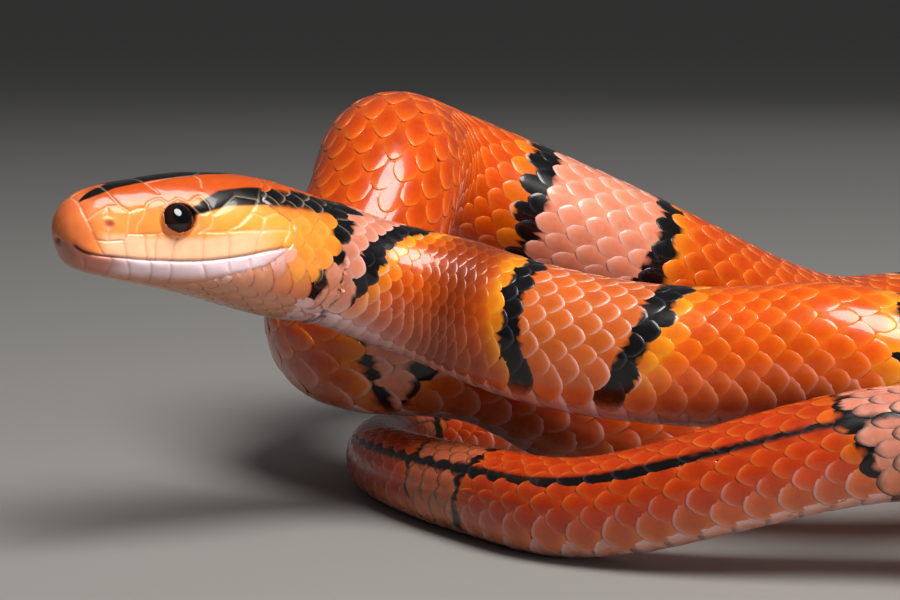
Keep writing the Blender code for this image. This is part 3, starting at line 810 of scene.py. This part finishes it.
def lay_plates(name, plan, faces, spots):
    """One joined mesh of plates. spots holds, as arrays or one value for all: along and share of
    a plate's middle, its length and breadth, how far it reaches rear and front, bow (how far its
    rear bulges), rise and crown of its top, lift off the skin, seat (how deep its foot goes),
    jitter of its colour and edge (how pale its rear is, partly a painted highlight)."""
    count = len(spots["along"])
    size = len(plan)
    spots = {key: np.broadcast_to(value, count) for key, value in spots.items()}
    own = {key: np.repeat(value, size) for key, value in spots.items()}
    u, v, reach = np.tile(plan, (count, 1)).T
    _, _, stretch = lie(spots["along"], spots["share"])
    stretch = np.repeat(np.clip(stretch, 0.62, 1.25), size)
    x = np.where(u > 0.0, u * own["rear"], u * own["front"]) * own["length"]
    bow = own["bow"] * own["length"] * (1.0 - v**2)
    x = x + np.where(u > 0.0, u * bow, 0.0)
    y = v * 0.5 * own["breadth"]
    along = np.clip(own["along"] + x / stretch, -0.7, TOTAL_LENGTH - 0.2)
    share = own["share"] + y / half_girth(along)
    point, normal, _ = lie(along, share)
    tilt = np.clip(1.0 / stretch, 0.9, 1.6)
    height = own["lift"] + own["rise"] * tilt * x / own["length"] - own["crown"] * v**2
    height -= 0.35 * own["crown"] * np.clip(u, 0.0, 1.0) ** 2
    height -= np.where(reach > 0.99, 0.035, np.where(reach > 0.9, 0.008, 0.0))
    foot = height - own["seat"] * (0.6 + 0.4 * np.clip(-u, 0.0, 1.0))
    height = np.where(reach > 1.5, foot, height)
    shields_end = scaled_from(np.degrees(angle_at(along, share)))
    height -= 0.32 * fall(along, shields_end - 0.1, shields_end + 0.45) * (along < NAPE_AT)
    points = point + height[:, None] * normal

    follow = 0.38 + 0.17 * ease(own["along"], 26.0, 50.0)
    seen_share = own["share"] + follow * y / half_girth(along)
    colour = plate_colour(own, u, v, reach, own["along"] + follow * x, seen_share)
    begin = spots["along"].min()
    span = max(spots["along"].max() - begin, 1.0)
    root_u = 0.04 + 0.92 * (np.mod(own["share"] + 1.0, 2.0) / 2.0)
    root_v = 0.04 + 0.92 * (own["along"] - begin) / span
    uvs = np.column_stack([root_u + BAKE_PATCH * v, root_v + BAKE_PATCH * u])
    return make_mesh(name, to_scene(points), face_corners(faces, size, count), colour, uvs)


# Lengths of the body that share one coat piece, as the solids are parted
COAT_LENGTHS = (
    ("neck", 6.0, 62.0), ("trunk_1", 62.0, 136.0), ("trunk_2", 136.0, 210.0), ("trunk_3", 210.0, 284.0),
    ("trunk_4", 284.0, 352.0), ("trunk_5", 352.0, 432.0), ("trunk_6", 432.0, 506.0),
    ("trunk_7", 506.0, 580.0), ("trunk_8", 580.0, VENT_AT), ("tail_base", VENT_AT, 728.0),
    ("tail_tip", 728.0, TOTAL_LENGTH),
)


def dorsal_spots(start, end, draw):
    """The dorsal and throat scales whose middles lie between two distances."""
    last = ROWS_EACH_SIDE + GULAR_ROWS
    found = []
    for row in range(-last, last + 1):
        base = COLUMNS + 0.5 * (row % 2)
        shift = np.zeros(len(base))
        for ended, at in ROW_ENDS:
            if abs(row) > ended:
                shift += 0.5 * ease(column_place(base), at - 5.0, at + 22.0)
        along = column_place(base + shift)
        share, breadth, weight = row_place(along, np.full(len(base), row))
        share = share * (1.0 if row >= 0 else -1.0)
        if abs(row) == last:
            share = share * 0.0 + 1.0
        keep = (along >= start) & (along < end) & (weight > 0.45)
        if abs(row) > ROWS_EACH_SIDE:
            keep &= (along < FIRST_VENTRAL_AT) & (row > -last)
        degrees = np.degrees(angle_at(along, share))
        keep &= along > scaled_from(degrees) - 0.25 * line_value(PITCH, along)
        picked = np.where(keep)[0]
        found += [(along[i], share[i], breadth[i] * max(weight[i], 0.6), row) for i in picked]
    along, share, breadth, _ = np.array(sorted(found)).T
    pitch = line_value(PITCH, along)
    noise = draw.uniform(-1.0, 1.0, (6, len(along)))
    grown = ease(along, 60.0, 240.0) * (1.0 - 0.5 * ease(along, 560.0, 720.0))
    throat = (along < 24.0) * (np.abs(share) > 0.6)
    size = np.clip(pitch / 2.6, 0.5, 1.3)
    return {
        "along": along + 0.03 * pitch * noise[0],
        "share": share + 0.02 * breadth * noise[1],
        "length": pitch * (1.0 + 0.04 * noise[2]),
        "breadth": 2.0 * breadth * half_girth(along) * (0.93 + 0.04 * noise[3]),
        "rear": 0.57,
        "front": 0.74,
        "bow": 0.0,
        "rise": (0.065 + 0.01 * grown - 0.025 * throat) * size,
        "crown": (0.05 + 0.03 * grown) * size,
        "lift": 0.01 * noise[4],
        "seat": 0.10 * size,
        "jitter": noise[5],
        "edge": 0.34 + 0.06 * noise[4],
    }


def ventral_spots(start, end, draw):
    """The broad scutes under the belly, one to a column."""
    along = column_place(COLUMNS + 0.5)
    along = along[(along >= max(start, FIRST_VENTRAL_AT)) & (along < min(end, VENT_AT - 1.0))]
    early = ease(along, FIRST_VENTRAL_AT, FIRST_VENTRAL_AT + 9.0)
    reach = (1.0 - VENTRAL_EDGE) * (0.55 + 0.45 * early) + 0.012
    return {
        "along": along,
        "share": 1.0,
        "length": line_value(PITCH, along),
        "breadth": 2.0 * reach * half_girth(along),
        "rear": 0.52,
        "front": 0.62,
        "bow": 0.10,
        "rise": 0.085,
        "crown": 0.05,
        "lift": -0.03,
        "seat": 0.09,
        "jitter": 0.3 * draw.uniform(-1.0, 1.0, (2, len(along)))[0],
        "edge": 0.5,
    }


def subcaudal_spots(start, end, draw):
    """The paired scutes under the tail, left and right half a column apart."""
    sides = []
    for side in (-1.0, 1.0):
        along = column_place(COLUMNS + 0.25 * side)
        along = along[(along >= max(start, VENT_AT - 1.0)) & (along < end)]
        sides.append((along, np.full(len(along), side * 0.5 * (1.0 + VENTRAL_EDGE - 0.02))))
    along, share = (np.concatenate(part) for part in zip(*sides))
    pitch = line_value(PITCH, along)
    size = np.clip(pitch / 2.6, 0.4, 1.2)
    return {
        "along": along,
        "share": share,
        "length": pitch,
        "breadth": (1.0 - VENTRAL_EDGE + 0.05) * half_girth(along) * 1.12,
        "rear": 0.56,
        "front": 0.7,
        "bow": 0.0,
        "rise": 0.08 * size,
        "crown": 0.05 * size,
        "lift": -0.02,
        "seat": 0.08 * size,
        "jitter": 0.3 * draw.uniform(-1.0, 1.0, len(along)),
        "edge": 0.5,
    }


# Sutures between the shields of the head, left side. Each is a list of places: distance from
# the snout and angle from the back in degrees, or, for those on the crown, distance to the left.
CROWN_SUTURES = (
    ((0.5, 0), (0.52, 0.7), (0.57, 1.4)),
    ((0.5, 0), (2.9, 0)),
    ((2.9, 0), (3, 1.3), (3.3, 2.3), (3.6, 2.7)),
    ((2.9, 0), (6.4, 0)),
    ((6.4, 0), (6.5, 1), (6.7, 1.75), (7, 2.5), (7.4, 3)),
    ((6.7, 1.75), (9, 1.62), (11.5, 1.5)),
    ((11.5, 1.5), (12.3, 0.8), (12.8, 0)),
    ((11.5, 1.5), (11.7, 2.4), (11.4, 3.3)),
    ((12.8, 0), (17.7, 0)),
    ((17.7, 0), (18.3, 0.7), (18.1, 1.7)),
)
SIDE_SUTURES = (
    ((0.57, 30), (0.75, 51), (0.99, 65), (1.29, 75), (1.77, 86), (2.2, 92)),
    ((0.98, 61), (1.77, 54), (2.79, 47), (3.81, 48), (4.59, 56)),
    ((3.6, 43), (3.81, 48)),
    ((4.59, 56), (4.35, 66), (4.29, 75)),
    ((2.72, 47.5), (2.68, 58)),
    ((2.66, 72), (2.62, 81.5)),
    ((1.5, 82), (2.25, 82), (3.93, 80), (4.29, 75), (5.85, 75), (6.93, 75), (7.53, 73.5)),
    ((4.59, 56), (5.3, 52.5), (5.97, 53)),
    ((5.97, 53), (5.67, 62), (5.2, 67), (5.1, 75)),
    ((5.97, 53), (6.27, 47), (6.9, 44.5), (7.4, 43.5), (7.95, 50)),
    ((7.53, 73), (7.35, 64), (7.53, 56), (7.95, 50), (8.97, 45), (9.81, 50), (10.17, 55), (10.65, 60),
     (10.45, 69), (9.87, 74), (8.79, 76), (7.53, 73)),
    ((3.93, 80), (4.05, 86), (4.15, 91)),
    ((5.85, 75), (5.79, 82), (5.91, 91)),
    ((6.93, 75), (6.69, 82), (6.63, 91)),
    ((8.79, 76), (8.31, 82), (8.07, 91)),
    ((11.01, 73), (10.89, 79), (10.77, 90)),
    ((13.05, 72), (13.23, 80), (13.05, 88)),
    ((16.35, 69), (15.69, 77), (15.45, 86)),
    ((19.05, 67), (18.39, 74), (17.85, 80.5)),
    ((10.45, 73.5), (11.01, 73), (12, 72.8), (12.99, 72)),
    ((12.99, 72), (14.6, 70), (16.35, 69), (17.6, 67.5), (19.05, 67)),
    ((12.99, 72), (14.19, 66), (15.51, 56)),
    ((15.51, 56), (16.59, 59), (16.35, 69)),
    ((16.59, 59), (18.09, 54), (19.17, 59), (19.05, 67)),
    ((15.51, 56), (16, 50), (16.47, 44)),
    ((11.85, 61), (12.57, 56), (13.4, 49), (14.31, 42), (16.47, 44), (17.13, 32), (17.9, 22)),
    ((10, 49.5), (10.6, 45.5), (11.01, 44), (11.55, 51), (11.73, 57), (11.13, 60), (10.65, 60)),
    ((11.73, 57), (11.85, 61), (11.79, 66), (11.49, 70), (10.65, 73)),
    ((0.85, 124), (1.3, 146), (1.9, 180)),
    ((1.9, 180), (11.9, 180)),
    ((2.75, 94), (3.03, 104), (2.95, 130), (3.3, 163), (3.3, 180)),
    ((3, 152), (4.65, 153), (6.51, 152), (8.6, 142), (10.41, 126), (11.85, 112), (13.29, 101),
     (15.03, 94), (17.2, 86.5)),
    ((4.1, 93), (4.7, 120), (5.3, 152.5)),
    ((6.2, 92), (6.6, 118), (7, 150)),
    ((8, 91), (8.25, 112), (8.6, 142)),
    ((10.8, 90), (11.2, 104), (11.4, 115)),
    ((13.1, 89), (13.35, 100)),
    ((15, 87), (15.2, 93.5)),
    ((7.4, 180), (7.2, 165), (7.5, 150)),
    ((7.5, 150), (9.2, 157), (10.9, 166), (11.9, 180)),
)
SUTURE_STEP = 0.05


def crown_angle(along, left):
    """Angle from the back at a distance to the left, on the upper half of the head."""
    angles = np.linspace(0.0, math.radians(80.0), 161)
    out, _ = head_section(np.full(len(angles), along), angles)
    return float(np.interp(left, out, angles))


def side_angle(along, up):
    """Angle from the back at a height above the mouth's level, on the head's left."""
    angles = np.linspace(0.0, math.pi, 361)
    _, high = head_section(np.full(len(angles), along), angles)
    return float(np.interp(-up, -high, angles))


def trace(places):
    """Finely spaced points of the head's surface along a line of (distance, angle in radians)."""
    rows = np.array(places)
    corners = surface(rows[:, 0], rows[:, 1])
    chords = np.linalg.norm(np.diff(corners, axis=0), axis=1)
    found = []
    for i, chord in enumerate(chords):
        parts = max(2, int(chord / SUTURE_STEP))
        f = np.arange(parts) / parts
        found.append(rows[i] + f[:, None] * (rows[i + 1] - rows[i]))
    found.append(rows[-1:])
    dense = np.vstack(found)
    return surface(dense[:, 0], dense[:, 1])


def line_tree(lines):
    """A search tree over the points of lines on both sides of the head."""
    points = []
    for line in lines:
        points.append(trace(line))
        points.append(trace([(along, -angle) for along, angle in line]))
    points = np.vstack(points)
    tree = KDTree(len(points))
    for i, point in enumerate(points):
        tree.insert(point, i)
    tree.balance()
    return tree


def suture_lines():
    lines = [[(t, crown_angle(t, left)) for t, left in line] for line in CROWN_SUTURES]
    lines += [[(t, math.radians(turn)) for t, turn in line] for line in SIDE_SUTURES]
    return lines


def mouth_lines():
    return [[(t, side_angle(t, up)) for t, up in MOUTH_LINE if t >= -0.3]]


def nearest(tree, points):
    return np.array([tree.find(p)[2] for p in points])


# The skin's grid: rows and points round it on the head, halved behind it
HEAD_ROUND = 384
HEAD_ROWS = 216
FINE_UNTIL = 21.0
HALVINGS = ((22.0, 192), (23.0, 96), (24.2, 48))
BODY_ROWS_FROM = 25.4
BODY_ROW_STEP = 2.2

# The rings that close the snout, as shares of its first row, and where the head's relief ends
CAP_RINGS = (0.8, 0.6, 0.4, 0.2)
RELIEF_UNTIL = 24.0


def skin_rows():
    """Distances of the skin's rows and how many points each has."""
    fine = np.linspace(FRONT_END, FINE_UNTIL, 4001)
    girth = table_value(HEAD_SECTIONS, 2, fine)
    profile = np.concatenate([[0.0], np.cumsum(np.hypot(np.diff(fine), 1.1 * np.diff(girth)))])
    head = np.interp(np.linspace(0.0, profile[-1], HEAD_ROWS), profile, fine)
    rows = [(at, HEAD_ROUND) for at in head]
    rows += HALVINGS
    body_end = TOTAL_LENGTH - 0.3
    steps = int((body_end - BODY_ROWS_FROM) / BODY_ROW_STEP)
    return rows + [(at, HALVINGS[-1][1]) for at in np.linspace(BODY_ROWS_FROM, body_end, steps)]


def eye_spot(along, left, up):
    """Distance from the eye's axis, in shares of its opening and plain, and height along it."""
    across = np.column_stack([along, np.abs(left), up]) - np.array(EYE_AT)
    outward = across @ np.array([0.0, math.cos(EYE_TILT), math.sin(EYE_TILT)])
    length = across[:, 0]
    height = across @ np.array([0.0, -math.sin(EYE_TILT), math.cos(EYE_TILT)])
    share = np.hypot(length / EYE_OPENING[0], height / EYE_OPENING[1])
    return np.where(outward > 0.0, share, 9.0), np.hypot(length, height), outward


def head_relief(base, along, angles, left, up):
    """How far the head's skin stands out from the plain surface, and the distances it goes by."""
    degrees = np.degrees(angles)
    gap = nearest(line_tree(suture_lines()), base)
    lips = nearest(line_tree(mouth_lines()), base)
    away, plain, outward = eye_spot(along, left, up)
    shields = fall(along, scaled_from(degrees) - 0.5, scaled_from(degrees) + 0.4)
    quiet = ease(away, 1.0, 1.08)
    height = shields * quiet * (-0.07 * bump(gap, 0.0, 0.085) - 0.04 * bump(gap, 0.0, 0.40))
    corner = fall(along, 17.6, 19.6)
    height += corner * (-0.26 * bump(lips, 0.0, 0.12) - 0.06 * bump(lips, 0.0, 0.4))
    ball = np.sqrt(np.maximum(EYE_RADIUS**2 - plain**2, 0.0)) + 0.03 - outward
    round_eye = (away < 1.6) & (away >= 1.0) & (plain < EYE_RADIUS)
    hug = np.where(round_eye, np.maximum(ball, height), height)
    height = np.where(away < 1.0, height - 0.8 * fall(away, 0.80, 1.0), hug)
    nostril = np.hypot((along - NOSTRIL_AT[0]) / 0.42, (up - NOSTRIL_AT[1]) / 0.34)
    open_at = np.abs(degrees) < 100.0
    height -= 0.24 * fall(nostril, 0.3, 1.25) * open_at
    height += 0.02 * bump(nostril, 1.5, 0.35) * open_at
    notch = np.hypot(left / 0.55, (up - NOTCH_UP) / 0.30)
    height -= 0.30 * bump(notch, 0.0, 1.0) * (along < 0.5)
    return height - skin_depth(along, degrees), gap, lips, away, nostril, notch


def grid_normals(points, loops, starts):
    """Vertex normals of a mesh of triangles and quads given as arrays."""
    normals = np.zeros_like(points)
    ends = np.append(starts[1:], len(loops))
    for corners in (3, 4):
        picked = starts[(ends - starts) == corners]
        if not len(picked):
            continue
        index = loops[picked[:, None] + np.arange(corners)]
        a, b, c = points[index[:, 0]], points[index[:, 1]], points[index[:, 2]]
        face = np.cross(b - a, c - a)
        if corners == 4:
            face = np.cross(c - a, points[index[:, 3]] - b)
        for k in range(corners):
            np.add.at(normals, index[:, k], face)
    return unit(normals)


def skin_faces(rows):
    """Faces between rows of as many points or half as many, and where the last row begins."""
    faces = []
    near = 0
    for (_, count), (_, after) in zip(rows[:-1], rows[1:]):
        far = near + count
        for k in range(after):
            n = (k + 1) % after
            if count == after:
                faces.append((near + k, near + n, far + n, far + k))
            else:
                f0, f1, f2 = (near + (2 * k + step) % count for step in range(3))
                faces += [(f0, f1, far + k), (f1, far + n, far + k), (f1, f2, far + n)]
        near = far
    return faces, near


def snout_cap(base, count):
    """Rings that close the skin's front, its tip, and the faces between them."""
    first = base[:count]
    middle = first.mean(axis=0)
    points = [
        middle + shrink * (first - middle) - 0.05 * (1.0 - shrink**2) * BACK_WAY for shrink in CAP_RINGS
    ]
    points.append(middle[None, :] - 0.055 * BACK_WAY)
    faces = []
    outer = 0
    for level in range(len(CAP_RINGS)):
        inner = len(base) + level * count
        for k in range(count):
            n = (k + 1) % count
            faces.append((inner + k, inner + n, outer + n, outer + k))
        outer = inner
    tip = outer + count
    faces += [(tip, outer + (k + 1) % count, outer + k) for k in range(count)]
    return np.vstack(points), faces


def skin_shade(colour, ink, along, degrees, measures):
    """Colour of the head's skin over the markings: sutures, painted pale as highlights on the upper head,
    nostrils and mouth with painted light and shade, lips and the eyes' rims.
    """
    gap, lips, away, nostril, notch = measures
    begin = scaled_from(degrees)
    shields = fall(along, begin - 0.3, begin + 0.3)
    on_side = np.abs(degrees) < 100.0
    # Painted highlight: on the crown and upper sides the sutures are painted pale; on the lips they are
    # darker
    line = mix(SUTURE_HIGHLIGHT, SUTURE_DARK, ease(np.abs(degrees), 72.0, 76.0))
    slit = bump(lips, 0.0, 0.26) * fall(along, 0.9, 1.5)
    shade = painted(
        colour,
        (line, 0.34 * shields * bump(gap, 0.0, 0.075)),
        # Painted light in the nostrils: a pale pink as though lit, and painted shade at their centre
        (NOSTRIL_LIT_PINK, 0.75 * fall(nostril, 0.7, 1.6) * on_side),
        (NOSTRIL_DEPTH_SHADE, 0.6 * fall(nostril, 0.1, 0.8) * on_side),
        # Painted shade in the mouth's line up to its corner, in the rostral notch and the slit at the
        # front
        (SUTURE_DARK * 0.5, 0.6 * bump(lips, 0.0, 0.08) * fall(along, 17.6, 19.3)),
        (SUTURE_DARK * 0.3, 0.85 * bump(notch, 0.0, 0.8) * (along < 0.5)),
        (SUTURE_DARK * 0.4, 0.7 * slit),
        (ORANGE, 0.55 * fall(away, 1.12, 1.32)),
        (EYE_RIM, 0.9 * fall(away, 1.03, 1.13)),
    )
    # Painted highlight: pale lines along the sutures where the head is black
    seam_highlight = bump(gap, 0.0, 0.07) * shields
    ink = np.maximum(ink, fall(away, 0.93, 1.0))
    return mix(shade, mix(BLACK, SUTURE_HIGHLIGHT, 0.22 * seam_highlight), ink)


def build_skin():
    """The one skin from snout to tail tip, with the shields, lips, nostrils and orbits."""
    rows = skin_rows()
    along = np.concatenate([np.full(count, at) for at, count in rows])
    share = np.concatenate([(np.arange(count) + 0.5) * 2.0 / count - 1.0 for _, count in rows])
    base = surface(along, angle_at(along, share))
    faces, last = skin_faces(rows)
    cap, cap_faces = snout_cap(base, HEAD_ROUND)
    faces += cap_faces
    faces.append(tuple(last + k for k in range(rows[-1][1])))
    base = np.vstack([base, cap])
    along = np.concatenate([along, np.full(len(cap), FRONT_END)])
    share = np.concatenate([share, np.tile(share[:HEAD_ROUND], len(CAP_RINGS)), [0.0]])
    corners = face_corners(faces)
    normals = grid_normals(base, *corners)
    if normals[np.argmax(base[:, 2]), 2] < 0.0:
        normals = -normals
    head = along < RELIEF_UNTIL
    angles = angle_at(along, share)
    from_snout = base - np.array(SNOUT)
    height = np.full(len(base), -COAT_DEPTH)
    height[head], *measures = head_relief(
        base[head], along[head], angles[head], (from_snout @ LEFT_WAY)[head], (from_snout @ UP_WAY)[head]
    )
    points = base + height[:, None] * normals

    colour, black = tints(along, share, np.zeros(len(base)))
    colour = mix(colour, SKIN_PINK, 0.45 * (along > RELIEF_UNTIL))
    colour[head] = skin_shade(colour[head], black[head], along[head], np.degrees(angles[head]), measures)
    colour[~head] = mix(colour[~head], BLACK, 0.85 * black[~head])
    on_head = 0.02 + 0.46 * (along + 0.9) / (NAPE_AT + 0.9)
    on_body = 0.50 + 0.48 * (along - NAPE_AT) / (TOTAL_LENGTH - NAPE_AT)
    bake_v = np.where(along < NAPE_AT, on_head, on_body)
    uvs = np.column_stack([0.02 + 0.96 * (share + 1.0) / 2.0, bake_v])
    return make_mesh("skin", to_scene(points), corners, colour, uvs)


def set_inputs(node, values):
    for name, value in values.items():
        node.inputs[name].default_value = value


def new_material(name):
    material = bpy.data.materials.new(name)
    material.use_nodes = True
    return material, material.node_tree.nodes["Principled BSDF"]


def add_node(material, kind, values, source=None, socket=None):
    """A shader node with values set on its inputs and, where one is given, a source joined on."""
    node = material.node_tree.nodes.new("ShaderNode" + kind)
    set_inputs(node, values)
    if source:
        material.node_tree.links.new(source, node.inputs[socket])
    return node


def add_tint(material):
    tint = add_node(material, "Attribute", {})
    tint.attribute_name = "tint"
    return tint.outputs["Color"]


def scale_material(name, roughness, gloss, pale_grain):
    """Glossy scale keratin: painted by the tint attribute, with fine mottling and relief."""
    material, shader = new_material(name)
    where = add_node(material, "TexCoord", {}).outputs["Object"]
    mottle = add_node(material, "TexNoise", {"Scale": 900.0, "Detail": 4.0}, where, "Vector")
    grain = add_node(material, "TexNoise", {"Scale": 3500.0, "Detail": 2.0}, where, "Vector")
    tone = add_node(material, "HueSaturation", {}, add_tint(material), "Color")
    relief_values = {"Strength": 0.12, "Distance": 0.00004}
    relief = add_node(material, "Bump", relief_values, grain.outputs["Fac"], "Height")
    join = material.node_tree.links.new
    spreads = (
        (1.0 - pale_grain, 1.0 + pale_grain, tone.inputs["Value"]),
        (roughness - 0.05, roughness + 0.07, shader.inputs["Roughness"]),
    )
    for low, high, socket in spreads:
        values = {"From Min": 0.3, "From Max": 0.7, "To Min": low, "To Max": high}
        spread = add_node(material, "MapRange", values, mottle.outputs["Fac"], "Value")
        join(spread.outputs["Result"], socket)
    join(tone.outputs["Color"], shader.inputs["Base Color"])
    join(relief.outputs["Normal"], shader.inputs["Normal"])
    surface_values = {
        "Specular IOR Level": 0.26,
        "Coat Weight": gloss,
        "Coat Roughness": 0.08,
        "Subsurface Weight": 0.10,
        "Subsurface Radius": (1.0, 0.35, 0.15),
        "Subsurface Scale": 0.0006,
    }
    set_inputs(shader, surface_values)
    return material


def eye_material():
    material, shader = new_material("eye_gloss")
    material.node_tree.links.new(add_tint(material), shader.inputs["Base Color"])
    values = {"Roughness": 0.10, "Specular IOR Level": 0.3, "Coat Weight": 0.6, "Coat Roughness": 0.02}
    set_inputs(shader, values)
    return material


PUPIL_RADIUS = 0.86
IRIS_BROWN = linear(66, 30, 18)


def mesh_from(name, work):
    """A mesh from a finished work mesh, which is let go."""
    mesh = bpy.data.meshes.new(name)
    work.to_mesh(mesh)
    work.free()
    return mesh


def build_eye(side, material):
    """An eyeball: round black pupil, dark brown iris, under a glossy spectacle."""
    word = "left" if side > 0 else "right"
    work = bmesh.new()
    bmesh.ops.create_uvsphere(work, u_segments=72, v_segments=48, radius=EYE_RADIUS)
    mesh = mesh_from("eyeball_" + word, work)
    points = np.empty(len(mesh.vertices) * 3)
    mesh.vertices.foreach_get("co", points)
    points = points.reshape(-1, 3)
    off_axis = np.hypot(points[:, 0], points[:, 1])
    iris = ease(off_axis, PUPIL_RADIUS, PUPIL_RADIUS + 0.08) * fall(off_axis, 1.25, 1.42)
    paint(mesh, mix(BLACK * 0.4, IRIS_BROWN, 0.25 * iris * (points[:, 2] > 0.0)))
    outward = side * math.cos(EYE_TILT) * LEFT_WAY + math.sin(EYE_TILT) * UP_WAY
    turned = points @ np.array([BACK_WAY, np.cross(outward, BACK_WAY), outward])
    centre = np.array(SNOUT) + EYE_AT[0] * BACK_WAY + side * EYE_AT[1] * LEFT_WAY + EYE_AT[2] * UP_WAY
    mesh.vertices.foreach_set("co", to_scene(turned + centre).astype(np.float32).ravel())
    mesh.polygons.foreach_set("use_smooth", np.ones(len(mesh.polygons), bool))
    mesh.materials.append(material)
    mesh.update()
    eye = link("eyeball_" + word, mesh)
    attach(eye, "root")
    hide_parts("eye_" + word)


def build_coat(draw, material):
    """The scales of each length of the body, dorsal scales and belly scutes in one mesh each."""
    plate = plate_plan()
    strip = strip_plan(5, 16)
    for name, start, end in COAT_LENGTHS:
        pieces = [lay_plates("scales_" + name, *plate, dorsal_spots(start, end, draw))]
        if start < VENT_AT - 1.0:
            pieces.append(lay_plates("scutes_" + name, *strip, ventral_spots(start, end, draw)))
        else:
            pieces.append(lay_plates("scutes_" + name, *plate, subcaudal_spots(start, end, draw)))
        for piece in pieces:
            piece.data.materials.append(material)
            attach(piece, "root")
            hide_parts(name)


def build_floor():
    work = bmesh.new()
    bmesh.ops.create_circle(work, cap_ends=True, segments=96, radius=24.0)
    mesh = mesh_from("floor", work)
    floor = link("floor", mesh)
    floor.location.z = -0.00005
    material, shader = new_material("floor_pale")
    set_inputs(shader, {"Base Color": (0.24, 0.235, 0.225, 1.0), "Roughness": 0.75})
    mesh.materials.append(material)


def area_light(name, place_at, target, width, height, power, colour, mirrored=True):
    data = bpy.data.lights.new(name, "AREA")
    data.shape = "ELLIPSE"
    data.size = width
    data.size_y = height
    data.energy = power
    data.color = colour
    light = link(name, data)
    light.location = place_at
    light.visible_glossy = mirrored
    light.rotation_euler = (Vector(target) - Vector(place_at)).to_track_quat("-Z", "Y").to_euler()


def build_studio():
    """A broad soft light above the camera, as a diffused flash, and weak ones beside and behind."""
    area_light("key", (0.09, -0.2, 0.41), (-0.04, -0.03, 0.02), 0.26, 0.34, 3.3, (1.0, 0.975, 0.94))
    area_light("fill", (0.36, -0.42, 0.08), (0.04, 0.0, 0.02), 0.3, 0.2, 1.1, (1.0, 0.97, 0.94), False)
    area_light("rim", (0.25, 0.55, 0.45), (0.0, 0.0, 0.03), 0.4, 0.3, 0.7, (0.95, 0.97, 1.0), False)
    world = bpy.data.worlds.new("studio")
    world.use_nodes = True
    sky = world.node_tree.nodes["Background"]
    set_inputs(sky, {"Color": (0.80, 0.81, 0.82, 1.0), "Strength": 0.11})
    bpy.context.scene.world = world
    bpy.context.scene.view_settings.view_transform = "Standard"


# The camera stands where the photograph was taken from, 100 mm lens, looking a little down
CAMERA_AT = (-0.052582, -0.259794, 0.049)
CAMERA_DOWN = math.radians(7.0)


def build_camera():
    data = bpy.data.cameras.new("camera")
    data.lens = 100.0
    data.sensor_width = 36.0
    data.clip_start = 0.01
    data.clip_end = 20.0
    camera = link("camera", data)
    camera.location = CAMERA_AT
    camera.rotation_euler = (math.radians(90.0) - CAMERA_DOWN, 0.0, 0.0)
    bpy.context.scene.camera = camera


def build():
    draw = np.random.default_rng(SEED)
    build_camera()
    build_studio()
    build_floor()
    skin = build_skin()
    skin.data.materials.append(scale_material("skin_gloss", 0.32, 0.4, 0.05))
    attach(skin, "root")
    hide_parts("head", "lower_jaw", *[name for name, _, _ in COAT_LENGTHS])
    build_coat(draw, scale_material("scale_gloss", 0.28, 0.5, 0.06))
    shine = eye_material()
    build_eye(1.0, shine)
    build_eye(-1.0, shine)


build()
bpy.context.view_layer.update()
